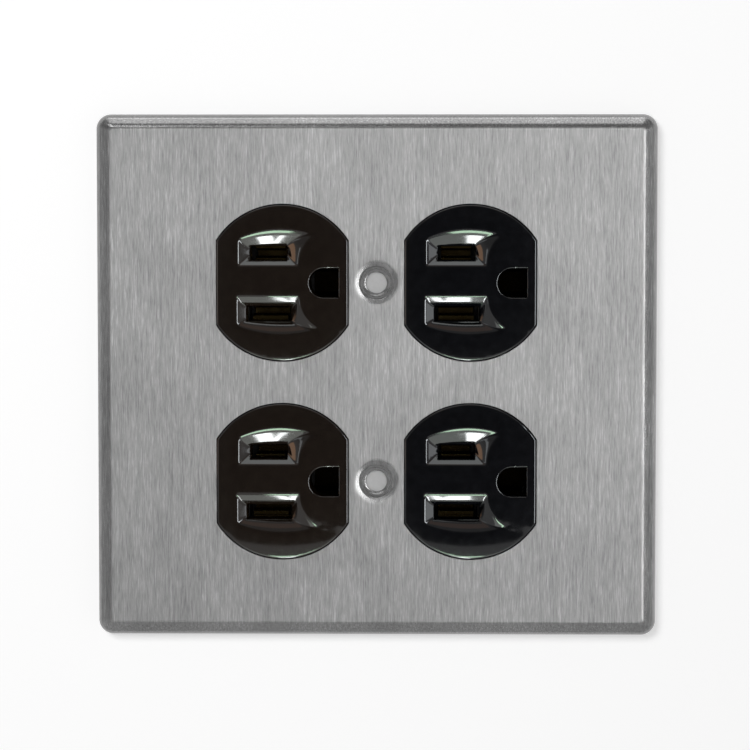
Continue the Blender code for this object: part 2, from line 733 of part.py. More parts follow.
def strap_front():
    """The strap seen from the front: a narrow strip between two wide plaster ears, with its holes."""
    ear = [
        (EAR_NECK, STRAP_HALF_HEIGHT, EAR_NECK_RADIUS),
        (EAR_NECK, EAR_HALF_HEIGHT, EAR_INNER_RADIUS),
        (EAR_SHOULDER, EAR_HALF_HEIGHT, EAR_OUTER_RADIUS),
        (EAR_SHOULDER, EAR_SHOULDER_HALF_HEIGHT, EAR_TIP_RADIUS),
        (EAR_TIP, EAR_TIP_HALF_HEIGHT, EAR_TIP_RADIUS),
    ]
    right = ear + [(u, -v, radius) for u, v, radius in reversed(ear)]
    outlines = [rounded(right + [(-u, -v, radius) for u, v, radius in right])]
    for side in (-1, 1):
        outlines.append(obround((side * MOUNT_X, 0), MOUNT_SLOT_RADIUS, MOUNT_SLOT_HALF_LENGTH))
        for end in (-1, 1):
            centre = (side * EAR_HOLE[0], end * EAR_HOLE[1])
            outlines.append(circle(centre, EAR_HOLE_RADIUS, SMALL_SIDES))
    outlines.append(circle((0, 0), POST_RADIUS + GAP))
    for centre in ASSEMBLY_SCREWS:
        outlines.append(circle(centre, ASSEMBLY_RADIUS + GAP, SMALL_SIDES))
    return outlines


def yoke():
    """The mounting strap, with a tab on its right leg for the ground terminal."""
    side = prism([strap_profile()], X, Y, Z, -EAR_HALF_HEIGHT - REACH, EAR_HALF_HEIGHT + REACH)
    front = prism(strap_front(), X, Z, Y, -STRAP - REACH, STRAP_BACK + STRAP + REACH)
    front_edge, back_edge = GROUND_TAB_Y - GROUND_TAB_HALF_WIDTH, GROUND_TAB_Y + GROUND_TAB_HALF_WIDTH
    tab = rounded([
        (STRAP_LEG + EMBED, front_edge, 0),
        (GROUND_TAB_TIP, front_edge, GROUND_TAB_RADIUS),
        (GROUND_TAB_TIP, back_edge, GROUND_TAB_RADIUS),
        (STRAP_LEG + EMBED, back_edge, 0),
    ])
    hole = circle((GROUND_TAB_X, GROUND_TAB_Y), TERMINAL_RADIUS + GAP, SMALL_SIDES)
    flange = prism([tab, hole], X, Y, Z, GROUND_TAB_BOTTOM, GROUND_TAB_TOP)
    return finished(joined(common(side, front), flange))


# ---- fasteners -----------------------------------------------------------------------------------


def center_post():
    """The post through the outlet's middle: a flange, a shank riveted at the back, a blind tapped hole."""
    rivet = STRAP_BACK + STRAP + GAP
    bottom = POST_FLANGE_FRONT + POST_BORE_DEPTH
    profile = [
        (0, bottom + POST_BORE_RADIUS / 2),
        (POST_BORE_RADIUS, bottom),
        (POST_BORE_RADIUS, POST_FLANGE_FRONT),
        (POST_FLANGE_RADIUS, POST_FLANGE_FRONT),
        (POST_FLANGE_RADIUS, POST_FLANGE_BACK),
        (POST_RADIUS, POST_FLANGE_BACK),
        (POST_RADIUS, rivet),
        (POST_RIVET_RADIUS, rivet),
        (POST_RIVET_RADIUS - EMBED, rivet + POST_RIVET_HEIGHT),
        (0, rivet + POST_RIVET_HEIGHT),
    ]
    return finished(turned(profile, Y))


def screw_mesh(head_radius, head_height, radius, length, seat=0.0):
    """A slotted screw on +Z: its shank runs down from the origin, and its head stands on the seat."""
    point = radius / 2
    profile = [
        (0, seat + head_height),
        (head_radius - HEAD_CROWN, seat + head_height),
        (head_radius, seat + head_height - HEAD_CROWN),
        (head_radius, seat),
        (radius, seat),
        (radius, point - length),
        (radius - point, -length),
        (0, -length),
    ]
    screw = turned(profile, Z)
    top = seat + head_height
    slot = block(
        (-head_radius - REACH, -SCREW_SLOT_WIDTH / 2, top - SCREW_SLOT_DEPTH),
        (head_radius + REACH, SCREW_SLOT_WIDTH / 2, top + REACH),
    )
    return finished(cut(screw, slot))


def clamp_mesh(half_width, thickness):
    """A square pressure plate on z = 0, with a hole for its screw and two wire grooves below."""
    quarters = ((1, -1), (1, 1), (-1, 1), (-1, -1))
    corners = [(half_width * u, half_width * v, CLAMP_CORNER_RADIUS) for u, v in quarters]
    hole = circle((0, 0), TERMINAL_RADIUS + GAP, SMALL_SIDES)
    plate = prism([rounded(corners), hole], X, Y, Z, 0, thickness)
    grooves = []
    for x in (-CLAMP_GROOVE_X, CLAMP_GROOVE_X):
        grooves.append(block(
            (x - CLAMP_GROOVE_HALF_WIDTH, -half_width - REACH, -REACH),
            (x + CLAMP_GROOVE_HALF_WIDTH, half_width + REACH, CLAMP_GROOVE_HALF_WIDTH),
        ))
    return finished(cut(plate, *grooves))


def washer_mesh():
    """The square fibre washer that keeps a mounting screw in its slot, in the plane of the wall."""
    half = [(WASHER_HALF_WIDTH, -WASHER_HALF_HEIGHT), (WASHER_HALF_WIDTH, WASHER_HALF_HEIGHT)]
    hole = circle((0, 0), MOUNTING_RADIUS + GAP)
    return finished(prism([mirrored_outline(half), hole], X, Z, Y, GAP, GAP + WASHER_THICKNESS))


# ---- assembly ------------------------------------------------------------------------------------


def finish_material(kind):
    """The material of one kind of piece, made once and shared by that kind's copies."""
    found = bpy.data.materials.get(kind)
    if found:
        return found
    colour, roughness, metallic = FINISHES[kind]
    material = bpy.data.materials.new(kind)
    material.use_nodes = True
    shader = material.node_tree.nodes["Principled BSDF"]
    shader.inputs["Base Color"].default_value = (*colour, 1.0)
    shader.inputs["Roughness"].default_value = roughness
    shader.inputs["Metallic"].default_value = metallic
    return material


def place(name, mesh, kind, parent, location=(0, 0, 0), turn=(0, 0, 0)):
    """One named piece of the object, at a place on its parent."""
    piece = bpy.data.objects.new(name, mesh)
    bpy.data.collections["wall_plate_cover"].objects.link(piece)
    piece.parent = parent
    piece.location = location
    piece.rotation_euler = turn
    if not mesh.materials:
        mesh.materials.append(None)
    piece.material_slots[0].link = "OBJECT"
    piece.material_slots[0].material = finish_material(kind)
    return piece


def outlet_meshes():
    """Every mesh that an outlet uses, made once for both outlets."""
    seat = CLAMP_THICKNESS + GAP
    terminal = (TERMINAL_HEAD_RADIUS, TERMINAL_HEAD_HEIGHT, TERMINAL_RADIUS)
    assembly_length = STRAP_BACK + STRAP + GAP - ASSEMBLY_TIP
    return {
        "face_cover": face_cover(),
        "base": base(),
        "yoke": yoke(),
        "center_post": center_post(),
        "hot_strip": blade_strip(1, LINE_CONTACT_WIDTH),
        "neutral_strip": blade_strip(-1, NEUTRAL_CONTACT_WIDTH),
        "ground_strip": ground_strip(),
        "assembly_screw": screw_mesh(
            ASSEMBLY_HEAD_RADIUS, ASSEMBLY_HEAD_HEIGHT, ASSEMBLY_RADIUS, assembly_length
        ),
        "clamp": clamp_mesh(CLAMP_HALF_WIDTH, CLAMP_THICKNESS),
        "ground_clamp": clamp_mesh(GROUND_CLAMP_HALF_WIDTH, CLAMP_THICKNESS),
        "terminal_screw": screw_mesh(*terminal, TERMINAL_SHANK - seat, seat),
        "ground_screw": screw_mesh(*terminal, GROUND_SHANK - seat, seat),
        "mounting_screw": screw_mesh(
            MOUNTING_HEAD_RADIUS, MOUNTING_HEAD_HEIGHT, MOUNTING_RADIUS, MOUNTING_SHANK
        ),
        "retaining_washer": washer_mesh(),
    }


def place_terminals(row, meshes, frame):
    """The clamp plates and screws on the outlet's long sides, each pair on its screw's axis."""
    for kind, side in (("hot", 1), ("neutral", -1)):
        turn = (0, 0, 0) if side > 0 else (math.pi, 0, 0)
        for end, x in (("left", -TERMINAL_X), ("right", TERMINAL_X)):
            spot = (x, TERMINAL_Y, side * (SIDE_PLATE_OUTER + GAP))
            clamp, screw = f"{row}_{kind}_clamp_{end}", f"{row}_{kind}_screw_{end}"
            place(clamp, meshes["clamp"], f"{kind}_clamp", frame, spot, turn)
            place(screw, meshes["terminal_screw"], f"{kind}_screw", frame, spot, turn)
    spot = (GROUND_TAB_X, GROUND_TAB_Y, GROUND_TAB_BOTTOM - GAP)
    turn = (math.pi, 0, 0)
    place(f"{row}_ground_clamp", meshes["ground_clamp"], "ground_clamp", frame, spot, turn)
    place(f"{row}_ground_screw", meshes["ground_screw"], "ground_screw", frame, spot, turn)


def place_outlet(row, height, meshes):
    frame = bpy.data.objects.new(f"{row}_outlet_frame", None)
    bpy.data.collections["wall_plate_cover"].objects.link(frame)
    frame.location = (0, 0, height)
    for kind in FIXED_PIECES:
        place(f"{row}_{kind}", meshes[kind], kind, frame)
    backward, forward = (-math.pi / 2, 0, 0), (math.pi / 2, 0, 0)
    rivet = STRAP_BACK + STRAP + GAP
    for end, (x, z) in zip(("right", "left"), ASSEMBLY_SCREWS):
        name, spot = f"{row}_assembly_screw_{end}", (x, rivet, z)
        place(name, meshes["assembly_screw"], "assembly_screw", frame, spot, backward)
    place_terminals(row, meshes, frame)
    for end, x in (("left", -MOUNT_X), ("right", MOUNT_X)):
        screw, spot = f"{row}_mounting_screw_{end}", (x, -STRAP - GAP, 0)
        place(screw, meshes["mounting_screw"], "mounting_screw", frame, spot, forward)
        washer = f"{row}_retaining_washer_{end}"
        place(washer, meshes["retaining_washer"], "retaining_washer", frame, (x, 0, 0))


def main():
    clear_scene()
    new_collection("wall_plate_cover")
    new_collection("cutters", hidden=True)
    place("wall_plate", wall_plate(), "wall_plate", None)
    meshes = outlet_meshes()
    for row, height in ROWS.items():
        place_outlet(row, height, meshes)


main()
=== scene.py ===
"""The looks of a two-gang stainless wall plate cover on two black duplex outlets.

Frame: +X right, +Z up, the wall's face at Y = 0, and the object seen from -Y. The shapes below are
worked out in millimetres, and `MM` takes them to the frame's metres.
"""

import json
import math

import bmesh
import bpy
import numpy as np
from mathutils import Matrix, Vector
from mathutils.geometry import delaunay_2d_cdt

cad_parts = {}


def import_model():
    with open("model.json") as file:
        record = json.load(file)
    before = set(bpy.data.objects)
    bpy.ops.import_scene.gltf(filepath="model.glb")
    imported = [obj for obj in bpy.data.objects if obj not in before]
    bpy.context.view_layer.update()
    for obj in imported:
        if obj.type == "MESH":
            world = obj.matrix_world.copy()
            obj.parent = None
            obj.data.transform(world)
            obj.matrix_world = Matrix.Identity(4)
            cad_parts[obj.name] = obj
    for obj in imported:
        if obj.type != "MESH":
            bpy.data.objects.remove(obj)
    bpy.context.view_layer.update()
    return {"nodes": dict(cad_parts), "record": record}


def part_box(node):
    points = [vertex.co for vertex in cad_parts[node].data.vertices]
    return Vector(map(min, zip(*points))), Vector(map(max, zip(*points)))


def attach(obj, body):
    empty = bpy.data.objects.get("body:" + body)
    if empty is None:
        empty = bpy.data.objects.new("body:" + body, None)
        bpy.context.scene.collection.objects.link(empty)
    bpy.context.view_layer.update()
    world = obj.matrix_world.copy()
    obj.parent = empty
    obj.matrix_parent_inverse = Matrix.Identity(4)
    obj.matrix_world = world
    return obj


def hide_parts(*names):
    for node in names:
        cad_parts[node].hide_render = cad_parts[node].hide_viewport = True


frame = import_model()

MM = 0.001
Y, Z = Vector((0, 1, 0)), Vector((0, 0, 1))
BODY_OF = {node: body for body, nodes in frame["record"]["behaviour"]["bodies"].items() for node in nodes}
SLOT_OF = {part["node"]: part["material_slot"] for part in frame["record"]["subparts"]}


def middle(node):
    low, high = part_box(node)
    return (low + high) / 2 / MM


ROWS = {row: middle(f"{row}_face_cover").z for row in ("upper", "lower")}

# Plate
PLATE_LOW, PLATE_HIGH = (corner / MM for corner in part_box("wall_plate"))
HALF_WIDTH, HALF_HEIGHT, PLATE_FRONT = PLATE_HIGH.x, PLATE_HIGH.z, PLATE_LOW.y
SHEET = 0.9
KNEE_RADIUS, RIM_RADIUS, LIP_RADIUS = 0.5, 3.2, 0.11
# the rolled edge, from the flat outward: width of each stretch and the tilt at its outer end
ROLL = ((0.70, 22.0), (1.85, 39.0), (1.0, 90.0))
ROLL_STEP, STEEPEST = 5.0, math.radians(80)
# a screw hole's dimple, from its rim in: (radius, depth), and the points on each of its rings
DIMPLE = (
    (5.0, 0.0), (4.78, 0.03), (4.6, 0.08), (4.3, 0.165), (4.0, 0.255), (3.8, 0.33), (3.62, 0.5),
    (3.4, 0.8), (3.15, 1.2), (2.95, 1.42), (2.65, 1.66), (2.3, 1.8),
)
DIMPLE_POINTS = 72

# Faces, each about its own centre
FACE_X = 20.5
FACE_RADIUS, FACE_HALF_WIDTH, FACE_GAP = 17.0, 14.3, 0.16
CROWN_RADIUS, CROWN_FRONT = 112.0, -7.0
SHOULDER_FRONT, COVER_BACK, FACE_FOOT = -2.6, 3.0, -0.5
SHOULDER_ROUND, SHOULDER_CORNER = 0.8, 1.8
# the post's seat in the shoulder: radius of its flange's pocket and of the bore, and the pocket's floor
SEAT_RADIUS, SEAT_BORE, SEAT_FLOOR = 3.9, 2.7, -2.0
# a face's stem and the shoulder's tunnel round it, as shares of the face's outline
STEM_SHARE, TUNNEL_SHARE = 0.91, 0.89
# each slot: its opening (left, right, inner, outer), the funnel's edges, and its walls as stretches of
# (width, slope) from the rim in; z counts away from the face's middle
LINE = {
    "slot": (-7.07, 0.98, 4.96, 7.99), "side": 1,
    "inner": 3.55, "left": -10.15,
    "inner_wall": ((0.2, 0.45), (9.0, 0.92)), "left_wall": ((0.62, 0.40), (9.0, 0.82)),
    "arc": ((-10.15, 10.23), (-1.03, 13.05), (8.6, 10.6)),
    "flare": ((4.1, 3.4), (4.9, 7.1), (8.6, 10.6)),
}
NEUTRAL = {
    "slot": (-7.84, 1.93, 5.06, 8.27), "side": -1,
    "inner": 2.72, "left": -10.4,
    "inner_wall": ((0.25, 0.30), (1.25, 0.52), (9.0, 1.0)), "left_wall": ((0.62, 0.40), (9.0, 0.82)),
    "arc": ((-10.4, 9.7), (0.0, 12.2), (9.0, 10.2)),
    "flare": ((4.1, 2.7), (5.4, 7.2), (9.0, 10.2)),
}
BOWL_DEPTH, BOWL_POWER, BOWL_HOLLOW = 2.4, 1.7, 0.0068
GROUND = {"x": 9.05, "radius": 3.2, "flat": 12.28}
# how far the edges of the face, the slots and the ground hole are rounded over
RIM_ROUND, SLOT_ROUND, GROUND_ROUND = 0.3, 0.18, 0.25
# how softly one wall of a funnel runs into the next
BLEND = 0.3


# ---- meshes --------------------------------------------------------------------------------------


class Shape:
    """Points and faces gathered in millimetres, in patches that meet point to point."""

    def __init__(self):
        self.points, self.faces = [], []

    def add(self, points, faces, flip=False):
        first = len(self.points)
        self.points += [tuple(p) for p in points]
        self.faces += [tuple(first + i for i in (face[::-1] if flip else face)) for face in faces]

    def loft(self, rings, flip=False):
        """Quads between rings of the same number of points."""
        count = len(rings[0])
        faces = []
        for k in range(len(rings) - 1):
            for i in range(count):
                j = (i + 1) % count
                faces.append((k * count + i, k * count + j, (k + 1) * count + j, (k + 1) * count + i))
        self.add([p for ring in rings for p in ring], faces, flip)

    def piece(self, name, sharp=35):
        """The object: seams welded, faces turned outward, shaded smooth across shallow edges."""
        mesh = bpy.data.meshes.new(name)
        mesh.from_pydata([Vector(p) * MM for p in self.points], [], self.faces)
        return solid_piece(name, mesh, sharp)


def solid_piece(name, mesh, sharp=35):
    shape = bmesh.new()
    shape.from_mesh(mesh)
    bmesh.ops.remove_doubles(shape, verts=shape.verts, dist=2e-6)
    bmesh.ops.dissolve_degenerate(shape, edges=shape.edges, dist=1e-7)
    bmesh.ops.recalc_face_normals(shape, faces=shape.faces)
    shape.to_mesh(mesh)
    shape.free()
    mesh.shade_smooth()
    mesh.set_sharp_from_angle(angle=math.radians(sharp))
    piece = bpy.data.objects.new(name, mesh)
    bpy.context.scene.collection.objects.link(piece)
    return piece


def loop_at(loop, y):
    return [(x, y, z) for x, z in loop]


def rounded_rect(half_width, half_height, radius, steps=10):
    """A rounded rectangle's outline, counter-clockwise as seen from the front, from the lower right."""
    points = []
    for k, (sx, sz) in enumerate(((1, -1), (1, 1), (-1, 1), (-1, -1))):
        cx, cz = sx * (half_width - radius), sz * (half_height - radius)
        for i in range(steps + 1):
            angle = math.pi / 2 * (k - 1 + i / steps)
            points.append((cx + radius * math.cos(angle), cz + radius * math.sin(angle)))
    return points


def circle(cx, cz, radius, count=64):
    return [
        (cx + radius * math.cos(2 * math.pi * i / count), cz + radius * math.sin(2 * math.pi * i / count))
        for i in range(count)
    ]


def face_outline(cx, cz, grow=0.0, spacing=0.45):
    """The face's outline, a circle cut flat at its left and right, grown outward."""
    radius, half = FACE_RADIUS + grow, FACE_HALF_WIDTH + grow
    edge = math.acos(half / radius)
    rise = radius * math.sin(edge)
    arc_count = max(8, round(radius * (math.pi - 2 * edge) / spacing))
    flat_count = max(2, round(2 * rise / spacing))
    points = []
    for start, sign in ((edge, 1), (math.pi + edge, -1)):
        for i in range(arc_count):
            angle = start + (math.pi - 2 * edge) * i / arc_count
            points.append((radius * math.cos(angle), radius * math.sin(angle)))
        for i in range(flat_count):
            points.append((-sign * half, sign * rise * (1 - 2 * i / flat_count)))
    return [(cx + x, cz + z) for x, z in points]


def ground_outline(cx, cz, grow=0.0, spacing=0.3):
    """The ground hole's outline: round on the left, flat on the right."""
    radius = GROUND["radius"] + grow
    arc_count = round(math.pi * GROUND["radius"] / spacing)
    points = []
    for i in range(arc_count):
        angle = math.pi / 2 + math.pi * i / arc_count
        points.append((GROUND["x"] + radius * math.cos(angle), radius * math.sin(angle)))
    right = GROUND["flat"] + grow
    corners = [(GROUND["x"], -radius), (right, -radius), (right, radius), (GROUND["x"], radius)]
    for a, b in zip(corners, corners[1:]):
        count = max(2, round(math.dist(a, b) / spacing))
        points += [(a[0] + (b[0] - a[0]) * i / count, a[1] + (b[1] - a[1]) * i / count) for i in range(count)]
    return [(cx + x, cz + z) for x, z in points]


def rectangle(low_x, high_x, low_z, high_z, grow=0.0, spacing=0.3):
    corners = [
        (low_x - grow, low_z - grow), (high_x + grow, low_z - grow),
        (high_x + grow, high_z + grow), (low_x - grow, high_z + grow),
    ]
    points = []
    for a, b in zip(corners, corners[1:] + corners[:1]):
        count = max(2, round(math.dist(a, b) / spacing))
        points += [(a[0] + (b[0] - a[0]) * i / count, a[1] + (b[1] - a[1]) * i / count) for i in range(count)]
    return points


def triangulated(loops, extra=()):
    """Points and triangles of the flat region inside the first loop and outside the others."""
    points, edges = [], []
    for loop in loops:
        first = len(points)
        points += [Vector(p) for p in loop]
        edges += [(first + i, first + (i + 1) % len(loop)) for i in range(len(loop))]
    points += [Vector(p) for p in extra]
    made, _, faces, *_ = delaunay_2d_cdt(points, edges, [], 0, 1e-5)
    made = [tuple(p) for p in made]
    corner = np.array(made)
    faces = [face for face in faces if len(face) == 3]
    centre = corner[np.array(faces)].mean(axis=1)
    keep = within(loops[0], centre)
    for loop in loops[1:]:
        keep &= ~within(loop, centre)
    return made, [face for face, kept in zip(faces, keep) if kept]


def within(loop, points):
    """Which points lie inside a closed outline."""
    found = np.zeros(len(points), bool)
    x, z = points[:, 0], points[:, 1]
    for (ax, az), (bx, bz) in zip(loop, list(loop[1:]) + [loop[0]]):
        if az == bz:
            continue
        crosses = (az > z) != (bz > z)
        found ^= crosses & (x < (bx - ax) * (z - az) / (bz - az) + ax)
    return found


def matched_outline(rim, grow):
    """The face's outline moved outward point for point."""
    count = len(rim)
    out = []
    for i, (x, z) in enumerate(rim):
        ax, az = rim[i - 1]
        bx, bz = rim[(i + 1) % count]
        length = math.hypot(bx - ax, bz - az)
        out.append((x + grow * (bz - az) / length, z - grow * (bx - ax) / length))
    return out


# ---- plate ---------------------------------------------------------------------------------------


def rolled_edge():
    """(inset from the plate's outline, depth behind its front) from the flat out to the side."""
    inset, depth, tilt = sum(width for width, _ in ROLL), 0.0, 0.0
    path = [(inset, depth)]
    for width, end in ROLL:
        steps = max(5, round((end - tilt) / ROLL_STEP))
        step = width / steps
        for k in range(steps):
            angle = math.radians(tilt + (end - tilt) * (k + 0.5) / steps)
            inset -= step
            depth += step * math.tan(min(angle, STEEPEST))
            path.append((max(inset, 0.0), depth))
        tilt = end
    return path


def plate():
    """The pressed sheet: rolled edge, D-shaped openings with a small lip, and dimpled screw holes."""
    shape = Shape()
    path = rolled_edge()
    total = path[0][0]
    rings = []
    for inset, depth in path:
        share = 1 - inset / total
        radius = KNEE_RADIUS + (RIM_RADIUS - KNEE_RADIUS) * share**0.8
        loop = rounded_rect(HALF_WIDTH - inset, HALF_HEIGHT - inset, radius, 12)
        rings.append(loop_at(loop, PLATE_FRONT + min(depth, -PLATE_FRONT)))
    rings.append([(x, 0.0, z) for x, _, z in rings[-1]])
    shape.loft(rings)
    outline = [(x, z) for x, _, z in rings[0]]
    guard = rounded_rect(HALF_WIDTH - total - 0.25, HALF_HEIGHT - total - 0.25, KNEE_RADIUS, 12)
    holes, extra = [], list(guard)
    for row in ROWS.values():
        for side in (-1, 1):
            loop = face_outline(side * FACE_X, row, FACE_GAP + LIP_RADIUS, 0.5)
            holes.append(loop)
            lip = []
            for k in range(5):
                a = math.pi / 2 * k / 4
                ring = matched_outline(loop, -LIP_RADIUS * math.sin(a))
                lip.append(loop_at(ring, PLATE_FRONT + LIP_RADIUS * (1 - math.cos(a))))
            lip.append(loop_at(ring, PLATE_FRONT + SHEET))
            shape.loft(lip, flip=True)
        outermost = DIMPLE[0][0]
        holes.append(circle(0, row, outermost, DIMPLE_POINTS))
        extra += circle(0, row, outermost + 0.3, DIMPLE_POINTS)
        dimple = smooth_profile(DIMPLE, 3)
        shape.loft([loop_at(circle(0, row, r, DIMPLE_POINTS), PLATE_FRONT + d) for r, d in dimple], flip=True)
    points, faces = triangulated([outline] + holes, extra)
    shape.add([(x, PLATE_FRONT, z) for x, z in points], faces)
    piece = shape.piece("cover_plate", 50)
    sheet = piece.modifiers.new("Sheet", "SOLIDIFY")
    sheet.thickness = SHEET * MM
    sheet.offset = -1
    sheet.use_even_offset = True
    sheet.use_quality_normals = True
    piece.modifiers.new("Normals", "WEIGHTED_NORMAL").keep_sharp = True
    return piece


def smooth_profile(profile, steps):
    """A Catmull-Rom curve through (radius, depth) points."""
    points = [Vector(p) for p in profile]
    points = [2 * points[0] - points[1]] + points + [2 * points[-1] - points[-2]]
    out = []
    for a, b, c, d in zip(points, points[1:], points[2:], points[3:]):
        for k in range(steps):
            t = k / steps
            out.append(0.5 * (
                2 * b + (c - a) * t + (2 * a - 5 * b + 4 * c - d) * t * t + (3 * b - a - 3 * c + d) * t**3
            ))
    out.append(Vector(profile[-1]))
    return [tuple(p) for p in out]


# ---- faces ---------------------------------------------------------------------------------------


def circle_through(a, b, c):
    """(x, z, radius) of the circle through three points."""
    (ax, ay), (bx, by), (cx, cy) = a, b, c
    twice = 2 * (ax * (by - cy) + bx * (cy - ay) + cx * (ay - by))
    a2, b2, c2 = ax * ax + ay * ay, bx * bx + by * by, cx * cx + cy * cy
    ux = (a2 * (by - cy) + b2 * (cy - ay) + c2 * (ay - by)) / twice
    uy = (a2 * (cx - bx) + b2 * (ax - cx) + c2 * (bx - ax)) / twice
    return ux, uy, math.hypot(ax - ux, ay - uy)


def smooth_max(a, b, width):
    """The larger of two, rounded over where they are nearly equal."""
    h = np.clip(width - np.abs(a - b), 0, None) / width
    return np.maximum(a, b) + h * h * width / 4


def smooth_min(a, b, width):
    return -smooth_max(-a, -b, width)


def dome(x, z):
    """The crown of a face, which falls away from its middle."""
    return CROWN_FRONT + CROWN_RADIUS - np.sqrt(CROWN_RADIUS**2 - x * x - z * z)


def funnel(x, z, spec):
    """Depth of one flared slot mouth: straight inner and left walls, a flare and an outer arc."""
    z = z * spec["side"]
    left, right, inner, outer = spec["slot"]
    front = dome(x, z)
    ax, az, ar = circle_through(*spec["arc"])
    z_arc = az + np.sqrt(np.clip(ar**2 - (x - ax) ** 2, 0.01, None))
    fx, fz, fr = circle_through(*spec["flare"])
    x_flare = fx - np.sqrt(np.clip(fr**2 - (z - fz) ** 2, 0.01, None))
    x_flare = np.where(z > fz + fr * 0.995, fx, x_flare)
    depth = stepped(z - spec["inner"], spec["inner_wall"])
    for wall in (
        stepped(x - spec["left"], spec["left_wall"]),
        bowed((z_arc - z) / np.clip(z_arc - outer, 0.5, None)) * (1 - BOWL_HOLLOW * (x - ax) ** 2),
        bowed((x_flare - x) / np.clip(x_flare - right, 0.5, None)),
    ):
        depth = smooth_min(depth, wall, BLEND)
    return front + depth


def stepped(inward, stretches):
    """Depth of a wall made of straight stretches, at a distance in from its rim."""
    depth, start = inward * stretches[0][1], 0.0
    for (width, slope), (_, following) in zip(stretches, stretches[1:]):
        start += width
        depth = depth + np.clip(inward - start, 0, None) * (following - slope)
    return depth


def bowed(share):
    """Depth of a curved wall, from 0 at its rim to the full depth at the slot, and steeper as it goes."""
    return np.where(share > 0, BOWL_DEPTH * np.clip(share, 0, None) ** BOWL_POWER, share * 0.3)


def ground_distance(x, z):
    """How far each place is from the ground hole's outline."""
    round_side = np.hypot(x - GROUND["x"], z) - GROUND["radius"]
    square_side = np.maximum(x - GROUND["flat"], np.abs(z) - GROUND["radius"])
    return np.where(x < GROUND["x"], round_side, square_side)


def rim_distance(x, z):
    """How far each place is in from the face's outline."""
    return np.minimum(FACE_RADIUS - np.hypot(x, z), FACE_HALF_WIDTH - np.abs(x))


def edge_fall(distance, radius):
    """How far a rounded edge has fallen, at a distance in from where it ends."""
    d = np.clip(distance, 0, radius)
    return radius - np.sqrt(np.clip(radius**2 - (radius - d) ** 2, 0, None))


def box_distance(x, z, low_x, high_x, low_z, high_z):
    dx = np.maximum(np.maximum(low_x - x, x - high_x), 0)
    dz = np.maximum(np.maximum(low_z - z, z - high_z), 0)
    return np.hypot(dx, dz)


def face_height(x, z):
    """The face's front, as a depth at each place about its centre."""
    front = dome(x, z)
    depth = smooth_max(front, funnel(x, z, LINE), BLEND)
    depth = smooth_max(depth, funnel(x, z, NEUTRAL), BLEND)
    for box in slot_boxes():
        depth = depth + edge_fall(box_distance(x, z, *box), SLOT_ROUND)
    depth = depth + edge_fall(rim_distance(x, z), RIM_ROUND)
    return depth + edge_fall(ground_distance(x, z), GROUND_ROUND)


def face_points(step=0.14, coarse=4):
    """Places on the face: close together where it bends, and far apart where it is smooth."""
    nx, nz = int(FACE_HALF_WIDTH / step) + 2, int(FACE_RADIUS / step) + 2
    x, z = np.meshgrid(np.arange(-nx, nx + 1) * step, np.arange(-nz, nz + 1) * step, indexing="ij")
    height = face_height(x, z)
    bend = np.zeros_like(height)
    bend[1:-1, 1:-1] = np.maximum(
        np.abs(height[2:, 1:-1] - 2 * height[1:-1, 1:-1] + height[:-2, 1:-1]),
        np.abs(height[1:-1, 2:] - 2 * height[1:-1, 1:-1] + height[1:-1, :-2]),
    ) / step**2
    i, k = np.indices(x.shape)
    keep = (i % coarse == 0) & (k % coarse == 0)
    keep |= (bend > 0.12) & (i % 2 == 0) & (k % 2 == 0)
    keep |= bend > 0.45
    keep &= rim_distance(x, z) > RIM_ROUND + 0.2
    for box in slot_boxes():
        keep &= box_distance(x, z, *box) > 0.24
    keep &= ground_distance(x, z) > 0.32
    return np.column_stack((x[keep], z[keep]))


def slot_boxes():
    """(low x, high x, low z, high z) of each slot."""
    for spec in (LINE, NEUTRAL):
        left, right, inner, outer = spec["slot"]
        low, high = sorted((inner * spec["side"], outer * spec["side"]))
        yield left, right, low, high


def face_patch():
    """(points, triangles, and the rim's, hole's and slots' loops) of a face's front, about its centre."""
    rim = face_outline(0, 0, 0, 0.3)
    ground = ground_outline(0, 0, 0)
    slots = [rectangle(*box) for box in slot_boxes()]
    extra = []
    for grow in (0.02, 0.06, 0.12, 0.2, 0.3, 0.42):
        extra += face_outline(0, 0, -grow, 0.3)
    for grow in (0.02, 0.05, 0.1, 0.17, 0.26):
        extra += ground_outline(0, 0, grow)
    for grow in (0.02, 0.06, 0.11, 0.18):
        for box in slot_boxes():
            extra += rectangle(*box, grow)
    extra += [tuple(p) for p in face_points()]
    flat, faces = triangulated([rim, ground] + slots, extra)
    points = [(x, y, z) for (x, z), y in zip(flat, loop_height(flat))]
    return points, faces, rim, ground, slots


def loop_height(loop):
    """The face's depth at each (x, z) of a loop."""
    array = np.array(loop)
    return face_height(array[:, 0], array[:, 1])


